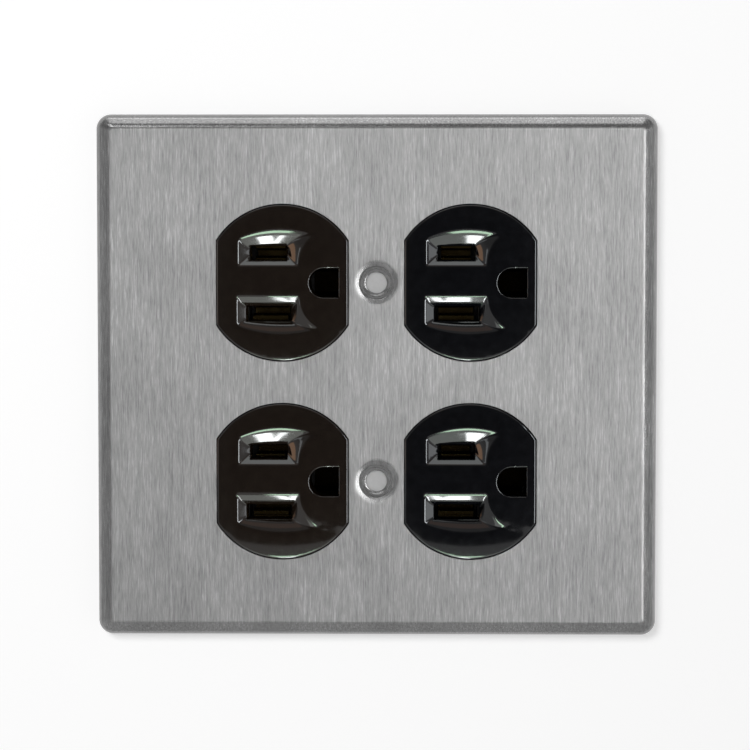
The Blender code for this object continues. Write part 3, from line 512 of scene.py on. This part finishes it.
def face_cover(row, patch):
    """The black front shell of one outlet: a shoulder behind the plate and two faces through it."""
    points, faces, rim, ground, slots = patch
    shape = Shape()
    height = ROWS[row]
    tunnels = []
    for side in (-1, 1):

        def put(loop, depth):
            depths = depth if hasattr(depth, "__len__") else [depth] * len(loop)
            return [(x + side * FACE_X, y, z + height) for (x, z), y in zip(loop, depths)]

        shape.add(put([(x, z) for x, _, z in points], [y for _, y, _ in points]), faces)
        stem = [(x * STEM_SHARE, z * STEM_SHARE) for x, z in rim]
        edge = loop_height(rim)
        # the ring just behind the rounded edge keeps the side's shading straight
        shape.loft([
            put(rim, edge), put(rim, edge + 0.12), put(rim, FACE_FOOT),
            put(stem, FACE_FOOT), put(stem, COVER_BACK),
        ])
        for loop in (ground, *slots):
            shape.loft([put(loop, loop_height(loop)), put(loop, COVER_BACK)], flip=True)
        holes = [put(loop, COVER_BACK) for loop in (stem, ground, *slots)]
        flat, triangles = triangulated([[(x, z) for x, _, z in hole] for hole in holes])
        shape.add([(x, COVER_BACK, z) for x, z in flat], triangles)
        tunnels.append([(x * TUNNEL_SHARE + side * FACE_X, z * TUNNEL_SHARE + height) for x, z in rim])
    add_shoulder(shape, row, tunnels)
    return shape.piece(f"{row}_face_shell", 40)


def add_shoulder(shape, row, tunnels):
    """The plain part behind the plate, with a tunnel for each face's stem and a seat for the post."""
    height = ROWS[row]
    low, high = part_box(f"{row}_face_cover")
    half_width, half_height = high.x / MM, (high.z - low.z) / 2 / MM
    back = COVER_BACK - 0.02
    rings = []
    for y, turn in ((SHOULDER_FRONT, 1), (back, -1)):
        stretch = []
        for k in range(5):
            a = math.pi / 2 * k / 4
            stretch.append((
                SHOULDER_ROUND * (1 - math.sin(a)), y + turn * SHOULDER_ROUND * (1 - math.cos(a))
            ))
        rings += stretch[::turn]
    loops = []
    for inset, y in rings:
        outline = rounded_rect(half_width - inset, half_height - inset, SHOULDER_CORNER - inset, 6)
        loops.append([(x, y, z + height) for x, z in outline])
    shape.loft(loops)
    flange, bore = circle(0, height, SEAT_RADIUS, 48), circle(0, height, SEAT_BORE, 48)
    for loop in tunnels:
        shape.loft([loop_at(loop, SHOULDER_FRONT), loop_at(loop, back)])
    shape.loft([
        loop_at(flange, SHOULDER_FRONT), loop_at(flange, SEAT_FLOOR),
        loop_at(bore, SEAT_FLOOR), loop_at(bore, back),
    ])
    for ring, hole, y in ((loops[0], flange, SHOULDER_FRONT), (loops[-1], bore, back)):
        flat, triangles = triangulated([[(x, z) for x, _, z in ring], hole, *tunnels])
        shape.add([(x, y, z) for x, z in flat], triangles)


# ---- other pieces --------------------------------------------------------------------------------


def cleaned_copy(node, name):
    """A CAD node's solid as a fresh mesh: welded, and its flat faces whole again."""
    shape = bmesh.new()
    shape.from_mesh(frame["nodes"][node].data)
    bmesh.ops.remove_doubles(shape, verts=shape.verts, dist=2e-6)
    bmesh.ops.dissolve_limit(
        shape, angle_limit=math.radians(0.5), verts=shape.verts, edges=shape.edges, delimit={"NORMAL"}
    )
    mesh = bpy.data.meshes.new(name)
    shape.to_mesh(mesh)
    shape.free()
    return mesh


def rounded_edges(piece, width, sharp):
    """A modifier that rounds the edges sharper than an angle."""
    bevel = piece.modifiers.new("Edges", "BEVEL")
    bevel.width = width * MM
    bevel.segments = 2
    bevel.limit_method = "ANGLE"
    bevel.angle_limit = math.radians(sharp)


def softened(node, width, sharp=30):
    """The CAD node's solid with rounded edges."""
    piece = solid_piece(node + "_fine", cleaned_copy(node, node + "_fine"), sharp)
    rounded_edges(piece, width, sharp)
    piece.modifiers.new("Normals", "WEIGHTED_NORMAL").keep_sharp = False
    return piece


# points on a ring of a screw, and rings to a turn of its thread
AROUND, ALONG = 40, 8


def screw_frame(axis):
    """The turn that takes a screw modelled on +Z, head up, to its axis."""
    return Vector(axis).to_track_quat("Z", "Y").to_matrix().to_4x4()


def head_profile(radius, height):
    """A domed binding head, from its centre out and down to its underside."""
    crown = 0.55
    side = height - crown - 0.15
    points = []
    for k in range(9):
        a = math.pi / 2 * k / 8
        points.append((radius * math.sin(a) * 0.93, height - crown * (1 - math.cos(a)) * 0.9))
    points += [(radius - 0.08, 0.15 + side * 0.97), (radius, 0.1 + side * 0.85), (radius, 0.15)]
    points += [(radius - 0.05, 0.04), (radius - 0.15, 0.0)]
    return points


def thread(radius, pitch, length, start, point):
    """Rings of a threaded shank on Z, from its end up to where the plain neck starts."""
    depth = 0.58 * pitch
    rows = max(2, round((length - start) / pitch * ALONG))
    rings = []
    for k in range(rows + 1):
        z = -length + (length - start) * k / rows
        ring = []
        for i in range(AROUND):
            share = i / AROUND
            phase = ((z / pitch) - share) % 1
            crest = 1 - abs(2 * phase - 1)
            cut = depth * (1 - min(1.0, max(0.0, crest * 1.35 - 0.12)))
            taper = min(1.0, (z + length) / point) if point else 1.0
            fade = min(1.0, max(0.0, (-start - z) / (0.8 * pitch)))
            size = radius - cut * fade - 0.45 * radius * (1 - taper)
            angle = 2 * math.pi * share
            ring.append((size * math.cos(angle), size * math.sin(angle), z))
        rings.append(ring)
    return rings


def screw(node, axis, head_radius, head_height, radius, pitch, plain, cross):
    """A slotted machine screw with a real thread, in the place of its CAD node."""
    low, high = (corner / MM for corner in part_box(node))
    axis = Vector(axis)
    centre = (low + high) / 2
    span = abs((high - low).dot(axis))
    shape = Shape()
    length = span - head_height
    top = head_profile(head_radius, head_height)
    rings = [[(x, y, h) for x, y in circle(0, 0, r, AROUND)] for r, h in top if r > 0.01]
    shaft = thread(radius, pitch, length, plain, 0.9)
    stack = rings + [[(x, y, 0.0) for x, y, _ in shaft[-1]]] + shaft[::-1]
    shape.loft(stack, flip=True)
    for end in (stack[-1], stack[0]):
        shape.add(end, [tuple(range(AROUND))])
    piece = shape.piece(node + "_fine", 40)
    cutters = [slot_cutter(head_radius + 0.5, 0.5, head_height - 1.0, head_height + 1)]
    if cross:
        cutters.append(slot_cutter(head_radius * 0.52, 0.42, head_height - 1.05, head_height + 1, True))
    carve(piece, cutters)
    rounded_edges(piece, 0.08, 62)
    place = Matrix.Translation((centre + axis * (span / 2 - head_height)) * MM) @ screw_frame(axis)
    piece.data.transform(place)
    return piece


def slot_cutter(half_length, half_width, low, high, across=False):
    """A bar across a screw's head, or along it the other way."""
    shape = bmesh.new()
    size = (2 * half_length, 2 * half_width, high - low)
    if across:
        size = (size[1], size[0], size[2])
    bmesh.ops.create_cube(shape, size=1, matrix=Matrix.Diagonal((*size, 1)))
    bmesh.ops.translate(shape, verts=shape.verts, vec=(0, 0, (low + high) / 2))
    bmesh.ops.scale(shape, verts=shape.verts, vec=(MM, MM, MM))
    mesh = bpy.data.meshes.new("cutter")
    shape.to_mesh(mesh)
    shape.free()
    return mesh


def carve(piece, cutters):
    """The piece with the cutters taken out of it, applied."""
    helpers = []
    for mesh in cutters:
        helper = bpy.data.objects.new("cutter", mesh)
        bpy.context.scene.collection.objects.link(helper)
        helpers.append(helper)
        modifier = piece.modifiers.new("Cut", "BOOLEAN")
        modifier.operation = "DIFFERENCE"
        modifier.object = helper
    bpy.context.view_layer.update()
    mesh = bpy.data.meshes.new_from_object(piece.evaluated_get(bpy.context.evaluated_depsgraph_get()))
    piece.modifiers.clear()
    piece.data = mesh
    mesh.shade_smooth()
    mesh.set_sharp_from_angle(angle=math.radians(40))
    for helper in helpers:
        bpy.data.objects.remove(helper, do_unlink=True)


def post(node):
    """The post behind a plate hole: a rounded flange, a shank and a riveted back end."""
    low, high = (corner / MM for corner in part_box(node))
    row = (low.z + high.z) / 2
    front, back = low.y, high.y
    profile = [
        (0.02, front + 0.1), (0.9, front + 0.09), (1.5, front + 0.05), (1.9, front), (3.3, front),
        (3.52, front + 0.08), (3.6, front + 0.25), (3.6, front + 0.5),
        (3.52, front + 0.6), (2.4, front + 0.6), (2.4, back - 1.3), (3.6, back - 1.1), (3.8, back - 0.9),
        (3.72, back - 0.6), (3.3, back - 0.25), (2.6, back - 0.05), (1.9, back), (1.2, back - 0.15),
        (0.02, back - 0.3),
    ]
    shape = Shape()
    rings = [loop_at(circle(0, row, r), y) for r, y in profile]
    shape.loft(rings)
    for ring in (rings[0], rings[-1]):
        shape.add(ring, [tuple(range(len(ring)))])
    return shape.piece(node + "_fine", 40)


# ---- materials -----------------------------------------------------------------------------------


def add_node(tree, kind, inputs=(), **settings):
    """A shader node with its settings made, and each input linked or set."""
    node = tree.nodes.new("ShaderNode" + kind)
    for key, value in settings.items():
        setattr(node, key, value)
    for socket, value in dict(inputs).items():
        if isinstance(value, bpy.types.NodeSocket):
            tree.links.new(value, node.inputs[socket])
        else:
            node.inputs[socket].default_value = value
    return node


def ranged(tree, value, low, high, out_low, out_high):
    return add_node(tree, "MapRange", {
        "Value": value, "From Min": low, "From Max": high, "To Min": out_low, "To Max": out_high,
    }).outputs["Result"]


def mixed_colours(tree, share, a, b, blend="MIX"):
    """Two colours as one; a Mix node's colour sockets are 6 and 7, and 2 on its way out."""
    return add_node(tree, "Mix", {0: share, 6: a, 7: b}, data_type="RGBA", blend_type=blend).outputs[2]


def ramped(tree, value, stops):
    """The colour that a ramp of (position, colour) stops gives to a value."""
    ramp = add_node(tree, "ValToRGB", {"Fac": value})
    elements = ramp.color_ramp.elements
    while len(elements) < len(stops):
        elements.new(0.5)
    for element, (position, colour) in zip(elements, stops):
        element.position = position
        element.color = (*colour, 1)
    return ramp.outputs["Color"]


class Finish:
    """A Principled material, with short ways to feed its sockets from textures."""

    def __init__(self, name, colour, roughness, metallic=0.0, **constants):
        self.material = bpy.data.materials.new(name)
        self.material.use_nodes = True
        self.tree = self.material.node_tree
        self.shader = self.tree.nodes["Principled BSDF"]
        self.set("Base Color", (*colour, 1))
        self.set("Roughness", roughness)
        self.set("Metallic", metallic)
        for socket, value in constants.items():
            self.set(socket.replace("_", " "), value)
        self.place = self.new("TexCoord").outputs["Object"]

    def set(self, socket, value):
        self.shader.inputs[socket].default_value = value

    def feed(self, socket, value):
        self.tree.links.new(value, self.shader.inputs[socket])

    def new(self, kind, inputs=(), **settings):
        return add_node(self.tree, kind, inputs, **settings)

    def noise(self, per_mm, detail=3.0, roughness=0.55, distortion=0.0):
        """A noise whose grain is so fine along each axis, in cycles a millimetre."""
        scale = [n / MM for n in per_mm]
        stretched = self.new("Mapping", {"Vector": self.place, "Scale": scale}).outputs["Vector"]
        return self.new("TexNoise", {
            "Vector": stretched, "Scale": 1.0, "Detail": detail, "Roughness": roughness,
            "Distortion": distortion,
        }).outputs["Fac"]

    def range(self, value, low, high, out_low, out_high):
        return ranged(self.tree, value, low, high, out_low, out_high)

    def math(self, operation, a, b=0.0):
        return self.new("Math", {0: a, 1: b}, operation=operation).outputs[0]

    def weighed(self, *terms):
        """The sum of values, each times its weight."""
        total, *others = [self.math("MULTIPLY", value, weight) for value, weight in terms]
        for term in others:
            total = self.math("ADD", total, term)
        return total

    def colours(self, value, *stops):
        return ramped(self.tree, value, stops)

    def bump(self, height, distance, strength=1.0, normal=None):
        """Feed the shader a bumped normal, on top of another one if that is given."""
        inputs = {"Height": height, "Distance": distance * MM, "Strength": strength}
        if normal is not None:
            inputs["Normal"] = normal
        made = self.new("Bump", inputs).outputs["Normal"]
        self.feed("Normal", made)
        return made


def grey(value):
    return (value, value, value)


def plate_steel():
    """Steel with upright brush marks, smoother on the rolled edge and in the dimples."""
    finish = Finish("plate_steel", grey(0.45), 0.45, 1.0, Anisotropic=0.85)
    marks = finish.weighed(
        (finish.noise((4.6, 4.6, 0.34), 4.0, 0.68), 0.55),
        (finish.noise((2.4, 2.4, 0.09), 3.0, 0.6), 0.27),
        (finish.noise((0.10, 0.10, 0.06), 3.0, 0.5), 0.18),
    )
    finish.feed("Base Color", finish.colours(
        marks, (0.37, grey(0.30)), (0.46, grey(0.41)), (0.54, grey(0.49)), (0.64, grey(0.68))
    ))
    place = finish.new("SeparateXYZ", {"Vector": finish.place})
    inset = [
        finish.math("SUBTRACT", half * MM, finish.math("ABSOLUTE", place.outputs[axis]))
        for half, axis in ((HALF_WIDTH, "X"), (HALF_HEIGHT, "Z"))
    ]
    brushed = finish.range(finish.math("MINIMUM", *inset), 2.7 * MM, 3.5 * MM, 0.0, 1.0)
    flat = finish.new("VectorMath", {0: finish.place, 1: (1, 0, 1)}, operation="MULTIPLY").outputs[0]
    for row in ROWS.values():
        away = finish.new("VectorMath", {0: flat, 1: (0, 0, row * MM)}, operation="DISTANCE").outputs["Value"]
        brushed = finish.math("MINIMUM", brushed, finish.range(away, 4.4 * MM, 5.0 * MM, 0.15, 1.0))
    grain = finish.range(marks, 0.3, 0.7, 0.40, 0.50)
    finish.feed("Roughness", finish.range(brushed, 0.0, 1.0, 0.21, grain))
    finish.feed("Tangent", finish.new("CombineXYZ", {"X": 1.0, "Y": 0.0, "Z": 0.0}).outputs[0])
    finish.bump(marks, 0.012, 0.4)
    return finish.material


def gloss_black():
    """Polished plastic, with painted warm light on the object's left and painted cool light on its right."""
    finish = Finish("face_black", (0.004, 0.0035, 0.0032), 0.09, 0.0, IOR=1.6, Specular_IOR_Level=0.8)
    wave = finish.noise((0.12, 0.12, 0.12), 2.0)
    grain = finish.noise((9.0, 9.0, 9.0), 2.0)
    haze = finish.noise((0.5, 0.5, 0.5), 4.0)
    finish.feed("Roughness", finish.range(haze, 0.35, 0.7, 0.055, 0.105))
    # painted light: the base colour is tinted warm on the left faces and cool on the right ones, in place of
    # warm and cool light reflected in them
    painted_warm_light = finish.colours(haze, (0.35, (0.0095, 0.0058, 0.0040)), (0.7, (0.013, 0.0085, 0.0060)))
    painted_cool_light = finish.colours(haze, (0.35, (0.0012, 0.0013, 0.0022)), (0.7, (0.0035, 0.0036, 0.0050)))
    across = finish.new("SeparateXYZ", {"Vector": finish.place}).outputs["X"]
    side = finish.range(across, -8 * MM, 8 * MM, 0.0, 1.0)
    finish.feed("Base Color", mixed_colours(finish.tree, side, painted_warm_light, painted_cool_light))
    first = finish.bump(wave, 0.02, 0.25)
    finish.bump(grain, 0.0012, 0.3, first)
    return finish.material


def moulded_black():
    finish = Finish("base_black", (0.02, 0.019, 0.018), 0.5, 0.0)
    grain = finish.noise((5.0, 5.0, 5.0), 3.0)
    haze = finish.noise((0.25, 0.25, 0.25), 4.0)
    finish.feed("Base Color", finish.colours(
        haze, (0.3, (0.017, 0.016, 0.0155)), (0.7, (0.028, 0.0265, 0.025))
    ))
    finish.feed("Roughness", finish.range(haze, 0.3, 0.7, 0.42, 0.6))
    finish.bump(grain, 0.02, 0.5)
    return finish.material


def metal(name, dark, light, roughness, streak=(1.5, 1.5, 1.5), bump=0.006, painted_shade=None):
    """Plated or rolled metal with fine marks and cloudy colour, and, if asked, painted shade that darkens it
    toward each outlet's middle height, deep in the faces.
    """
    finish = Finish(name, light, roughness, 1.0)
    marks = finish.noise(streak, 4.0, 0.6)
    mixed = finish.weighed((marks, 0.5), (finish.noise((0.35, 0.35, 0.35), 4.0, 0.6, 0.4), 0.5))
    colour = finish.colours(mixed, (0.36, dark), (0.62, light))
    if painted_shade:
        # painted shade: the colour is darkened within 12 mm of each row's middle, where the contacts lie in
        # the slots' shade
        height = finish.new("SeparateXYZ", {"Vector": finish.place}).outputs["Z"]
        away = [finish.math("ABSOLUTE", finish.math("SUBTRACT", height, row * MM)) for row in ROWS.values()]
        painted_shade_factor = finish.range(finish.math("MINIMUM", *away), 12 * MM, 14.5 * MM, painted_shade, 1.0)
        colour = mixed_colours(finish.tree, 1.0, colour, painted_shade_factor, "MULTIPLY")
    finish.feed("Base Color", colour)
    finish.feed("Roughness", finish.range(mixed, 0.3, 0.7, roughness + 0.08, roughness - 0.06))
    finish.bump(marks, bump, 0.5)
    return finish.material


def vulcanised_fibre():
    finish = Finish("fibre", (0.42, 0.3, 0.19), 0.8, 0.0)
    strands = finish.noise((1.2, 3.5, 4.0), 5.0, 0.7, 0.8)
    finish.feed("Base Color", finish.colours(
        strands, (0.3, (0.32, 0.21, 0.12)), (0.55, (0.46, 0.33, 0.21)), (0.75, (0.58, 0.44, 0.3))
    ))
    finish.bump(strands, 0.03, 0.6)
    return finish.material


def post_grey():
    finish = Finish("post_grey", grey(0.6), 0.6, 0.0)
    cloud = finish.noise((0.6, 0.6, 0.6), 4.0)
    finish.feed("Base Color", finish.colours(cloud, (0.3, grey(0.62)), (0.7, grey(0.70))))
    finish.feed("Roughness", finish.range(cloud, 0.3, 0.7, 0.5, 0.65))
    finish.bump(finish.noise((4.0, 4.0, 4.0)), 0.004, 0.3)
    return finish.material


BRASS = ((0.52, 0.34, 0.11), (0.80, 0.57, 0.22), 0.24, (0.5, 2.5, 2.5))
# the frame's material slots, and two finishes of the looks' own: post_grey, and a brass with the deepest
# painted shade, for the ground clip
MATERIALS = {
    "plate_steel": plate_steel(),
    "face_black": gloss_black(),
    "base_black": moulded_black(),
    "zinc_steel": metal("zinc_steel", (0.46, 0.48, 0.50), (0.68, 0.70, 0.71), 0.3, (0.8, 2.5, 2.5), 0.008),
    # both brasses carry painted shade toward the outlets' middles; the ground clip's is the deepest
    "brass": metal("brass", *BRASS, painted_shade=0.45),
    "painted_shade_brass": metal("painted_shade_brass", *BRASS, painted_shade=0.05),
    "brass_screw": metal("brass_screw", (0.62, 0.42, 0.15), (0.87, 0.65, 0.28), 0.24),
    "nickel": metal("nickel", (0.50, 0.49, 0.47), (0.72, 0.71, 0.68), 0.26),
    "green_screw": metal("green_screw", (0.03, 0.17, 0.06), (0.08, 0.36, 0.13), 0.34),
    "fibre": vulcanised_fibre(),
    "post_grey": post_grey(),
}


def fitted(piece, *nodes, material=None):
    """The piece takes its first node's material and body, and stands for all of its nodes."""
    piece.data.materials.clear()
    piece.data.materials.append(MATERIALS[material or SLOT_OF[nodes[0]]])
    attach(piece, BODY_OF[nodes[0]])
    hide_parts(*nodes)
    return piece


# ---- assembly ------------------------------------------------------------------------------------


# how wide the rounding of each kind of piece is, in millimetres
EDGES = {
    "base": 0.3, "yoke": 0.22, "hot_strip": 0.12, "neutral_strip": 0.12, "ground_strip": 0.12,
    "hot_clamp_left": 0.15, "hot_clamp_right": 0.15, "neutral_clamp_left": 0.15,
    "neutral_clamp_right": 0.15, "ground_clamp": 0.15, "retaining_washer_left": 0.08,
    "retaining_washer_right": 0.08,
}

# each kind of screw: its head's radius and height, its thread's radius and pitch, its plain neck, and
# whether its slot is crossed by a second one
SCREWS = {
    "mounting": (3.4, 2.0, 1.75, 0.794, 0.6, False),
    "assembly": (2.6, 1.6, 1.3, 0.635, 0.6, True),
    "terminal": (3.9, 2.0, 1.6, 0.794, 1.2, True),
}


def build_object():
    """Every visible piece, each in the place of its CAD node."""
    pieces = [fitted(plate(), "wall_plate")]
    patch = face_patch()
    for row in ROWS:
        pieces.append(fitted(face_cover(row, patch), f"{row}_face_cover"))
        pieces.append(fitted(post(f"{row}_center_post"), f"{row}_center_post", material="post_grey"))
        for kind, width in EDGES.items():
            # the ground clip takes the brass with the deepest painted shade, so the ground hole looks dark
            own = "painted_shade_brass" if kind == "ground_strip" else None
            pieces.append(fitted(softened(f"{row}_{kind}", width), f"{row}_{kind}", material=own))
        pieces += screws(row)
    return pieces


def screws(row):
    """Every screw of one outlet, each with the way its head faces and its kind."""
    made = []
    for end in ("left", "right"):
        made.append((f"{row}_mounting_screw_{end}", -Y, "mounting"))
        made.append((f"{row}_assembly_screw_{end}", Y, "assembly"))
        made.append((f"{row}_hot_screw_{end}", Z, "terminal"))
        made.append((f"{row}_neutral_screw_{end}", -Z, "terminal"))
    made.append((f"{row}_ground_screw", -Z, "terminal"))
    return [fitted(screw(node, axis, *SCREWS[kind]), node) for node, axis, kind in made]


# ---- stage ---------------------------------------------------------------------------------------

CAMERA_DISTANCE = 600.0
CAMERA_LENS = 131.5
CAMERA_RISE, CAMERA_SIDE = math.radians(3.3), math.radians(1.0)
AIM = Vector((-0.34, -3.0, 0.22))

# each lamp: its place in degrees to the right of and above straight out, its distance and size in
# metres, its radiance and colour, and what it lights; without that, it lights everything
WHITE, PALE, COOL = (1, 1, 1), (0.97, 1.0, 1.0), (0.92, 0.97, 1.0)
LAMPS = {
    "plate_front": (10, 10, 1.3, (1.3, 0.8), 0.72, WHITE, "metal"),
    "plate_wide": (6, 4, 1.5, (1.5, 2.2), 0.31, WHITE, "metal"),
    "plate_right": (34, 0, 0.9, (0.13, 0.8), 5.5, WHITE, "metal"),
    "plate_top": (-8, 80, 0.8, (0.7, 0.55), 0.75, WHITE, "metal"),
    "plate_top_line": (-8, 88, 0.7, (0.5, 0.05), 2.0, WHITE, "metal"),
    "plate_top_left": (-30, 48, 0.8, (0.16, 0.10), 3.5, WHITE, "metal"),
    "post_front": (0, 8, 0.5, (0.3, 0.3), 3.9, WHITE, "posts"),
    "face_low": (-1, -32, 0.8, (0.19, 0.12), 7.0, (0.70, 1.0, 0.73), "faces"),
    "face_lower_wide": (-0.1, -57, 0.8, (0.071, 0.34), 15.0, PALE, "faces"),
    "face_lower_thin": (-8.2, -57, 0.8, (0.026, 0.34), 15.0, PALE, "faces"),
    "face_below": (0, -56, 0.85, (0.8, 0.62), 0.85, (0.92, 1.0, 0.92), "faces"),
    "face_above": (0, 82, 0.5, (0.5, 0.2), 1.0, (0.95, 1.0, 1.0), "faces"),
    "face_above_brown": (0, 56, 0.5, (0.5, 0.16), 0.16, (1.0, 0.5, 0.3), "faces"),
    "face_right": (80, 0, 0.6, (0.24, 0.5), 1.0, COOL, "faces"),
    "face_right_line": (42, 2, 0.6, (0.12, 0.5), 9.0, COOL, "faces"),
    "face_left": (-46, 6, 0.6, (0.10, 0.4), 0.9, (0.9, 0.97, 1.0), "faces"),
    "face_left_warm": (-78, 10, 0.5, (0.16, 0.3), 1.0, (1.0, 0.5, 0.22), "faces"),
    "wall_key": (-20, 20, 1.0, (0.35, 0.35), 11.0, WHITE, "wall"),
    "back_soft": (150, 30, 1.0, (0.8, 0.6), 6.0, WHITE, None),
    "back_left": (-140, 20, 1.0, (0.6, 0.6), 5.0, WHITE, None),
}

# brightness of the world in reflections, by how far ahead of the plate it lies: from 0 behind to 1
AHEAD = ((0.0, 0.8), (0.45, 0.7), (0.55, 0.33), (0.90, 0.28), (0.955, 0.06), (0.985, 0.035), (1.0, 0.03))

FLOOR_HALF, FLOOR_HEIGHT = 2500, -900
WALL_FRONT, WALL_HALF_WIDTH, WALL_HALF_HEIGHT = 0.25, 120, 110


def camera():
    data = bpy.data.cameras.new("camera")
    data.lens = CAMERA_LENS
    data.clip_start, data.clip_end = 0.01, 20
    eye = bpy.data.objects.new("camera", data)
    bpy.context.scene.collection.objects.link(eye)
    flat = math.cos(CAMERA_RISE)
    offset = Vector((math.sin(CAMERA_SIDE) * flat, -math.cos(CAMERA_SIDE) * flat, math.sin(CAMERA_RISE)))
    eye.location = (AIM + offset * CAMERA_DISTANCE) * MM
    eye.rotation_euler = (-offset).to_track_quat("-Z", "Y").to_euler()
    bpy.context.scene.camera = eye


def area_light(name, direction, distance, size, radiance, colour, only):
    """A rectangular lamp that looks at the plate's middle and lights only some pieces, or all if none."""
    data = bpy.data.lights.new(name, "AREA")
    data.shape = "RECTANGLE"
    data.size, data.size_y = size
    data.energy = radiance * math.pi * size[0] * size[1]
    data.color = colour
    lamp = bpy.data.objects.new(name, data)
    bpy.context.scene.collection.objects.link(lamp)
    lamp.location = Vector(direction).normalized() * distance
    lamp.rotation_euler = (-lamp.location).to_track_quat("-Z", "Y").to_euler()
    if only:
        lit = bpy.data.collections.new(name)
        for piece in only:
            lit.objects.link(piece)
        lamp.light_linking.receiver_collection = lit
    return lamp


def toward(across, up):
    """The direction from the plate that lies so many degrees to the right of and above straight out."""
    a, u = math.radians(across), math.radians(up)
    return Vector((math.sin(a) * math.cos(u), -math.cos(a) * math.cos(u), math.sin(u)))


def lights(groups):
    for name, (across, up, distance, size, radiance, colour, lit) in LAMPS.items():
        area_light(name, toward(across, up), distance, size, radiance, colour, groups.get(lit, ()))


def world():
    """White to the eye; for reflections a soft studio that is dark straight in front of the plate."""
    studio = bpy.data.worlds.new("studio")
    bpy.context.scene.world = studio
    studio.use_nodes = True
    tree = studio.node_tree
    tree.nodes.clear()
    direction = add_node(tree, "TexCoord").outputs["Generated"]
    split = add_node(tree, "SeparateXYZ", {"Vector": direction})
    ahead = add_node(tree, "Math", {0: split.outputs["Y"], 1: -1.0}, operation="MULTIPLY").outputs[0]
    position = ranged(tree, ahead, -1.0, 1.0, 0.0, 1.0)
    around = ramped(tree, position, [(stop, grey(value)) for stop, value in AHEAD])
    above = ranged(tree, split.outputs["Z"], 0.25, 0.45, 1.0, 0.6)
    in_front = add_node(tree, "Math", {0: ahead, 1: 0.0}, operation="GREATER_THAN").outputs[0]
    shaded = mixed_colours(tree, in_front, around, above, "MULTIPLY")
    soft = add_node(tree, "Background", {"Color": shaded, "Strength": 1.0}).outputs[0]
    white = add_node(tree, "Background", {"Color": (1, 1, 1, 1), "Strength": 1.0}).outputs[0]
    seen = add_node(tree, "LightPath").outputs["Is Camera Ray"]
    mixed = add_node(tree, "MixShader", {0: seen, 1: soft, 2: white}).outputs[0]
    add_node(tree, "OutputWorld", {"Surface": mixed})


def stage_material(name, colour, glow, reflected, one_sided=False):
    """Bright to the eye, and of another brightness in reflections; one_sided is clear from behind."""
    material = bpy.data.materials.new(name)
    material.use_nodes = True
    tree = material.node_tree
    shader = tree.nodes["Principled BSDF"]
    shader.inputs["Base Color"].default_value = (*grey(colour), 1)
    shader.inputs["Roughness"].default_value = 1.0
    shader.inputs["Specular IOR Level"].default_value = 0.0
    shader.inputs["Emission Color"].default_value = (1, 1, 1, 1)
    shader.inputs["Emission Strength"].default_value = glow
    seen = add_node(tree, "LightPath").outputs["Is Camera Ray"]
    dim = add_node(tree, "Emission", {"Strength": reflected}).outputs[0]
    last = add_node(tree, "MixShader", {0: seen, 1: dim, 2: shader.outputs[0]}).outputs[0]
    if one_sided:
        behind = add_node(tree, "NewGeometry").outputs["Backfacing"]
        clear = add_node(tree, "BsdfTransparent").outputs[0]
        last = add_node(tree, "MixShader", {0: behind, 1: last, 2: clear}).outputs[0]
    tree.links.new(last, tree.nodes["Material Output"].inputs["Surface"])
    return material


def wall_sheet(name, loops, material):
    """A flat sheet on the wall's face, which faces the front."""
    sheet = Shape()
    flat, triangles = triangulated(loops)
    sheet.add([(x, WALL_FRONT, z) for x, z in flat], triangles)
    piece = sheet.piece(name)
    if piece.data.polygons[0].normal.y > 0:
        piece.data.flip_normals()
    piece.data.materials.append(material)
    return piece


def stage():
    """A pale floor well below, the wall's face round the plate, and a dark sheet of painted shade in place of
    the inside of the wall box.
    """
    half, depth = FLOOR_HALF, FLOOR_HEIGHT
    floor = Shape()
    corners = [(-half, -half, depth), (half, -half, depth), (half, half, depth), (-half, half, depth)]
    floor.add(corners, [(0, 1, 2, 3)])
    floor_piece = floor.piece("floor")
    floor_piece.data.materials.append(stage_material("floor_white", 0.85, 0.6, 0.36))
    outer = rounded_rect(WALL_HALF_WIDTH, WALL_HALF_HEIGHT, 1, 2)
    window = rounded_rect(HALF_WIDTH - 2, HALF_HEIGHT - 2, 1.5, 6)
    faces = [face_outline(side * FACE_X, row, -0.4, 1.0) for row in ROWS.values() for side in (-1, 1)]
    white = stage_material("wall_white", 0.8, 0.5, 0.55, one_sided=True)
    # painted shade: a black one-sided sheet fills the plate's window, in place of the shaded inside of the
    # wall box
    dark = stage_material("opening_painted_shade", 0.02, 0.0, 0.02, one_sided=True)
    wall_piece = wall_sheet("wall_face", [outer, window], white)
    shade_piece = wall_sheet("wall_opening", [window, *faces], dark)
    return wall_piece


pieces = build_object()
wall_face = stage()
world()
shells = [piece for piece in pieces if piece.name.endswith("face_shell")]
posts = [piece for piece in pieces if "post" in piece.name]
others = [piece for piece in pieces if piece not in shells + posts and "strip" not in piece.name]
lights({"faces": shells, "metal": others, "posts": posts, "wall": [wall_face]})
camera()
bpy.context.scene.view_settings.view_transform = "Standard"
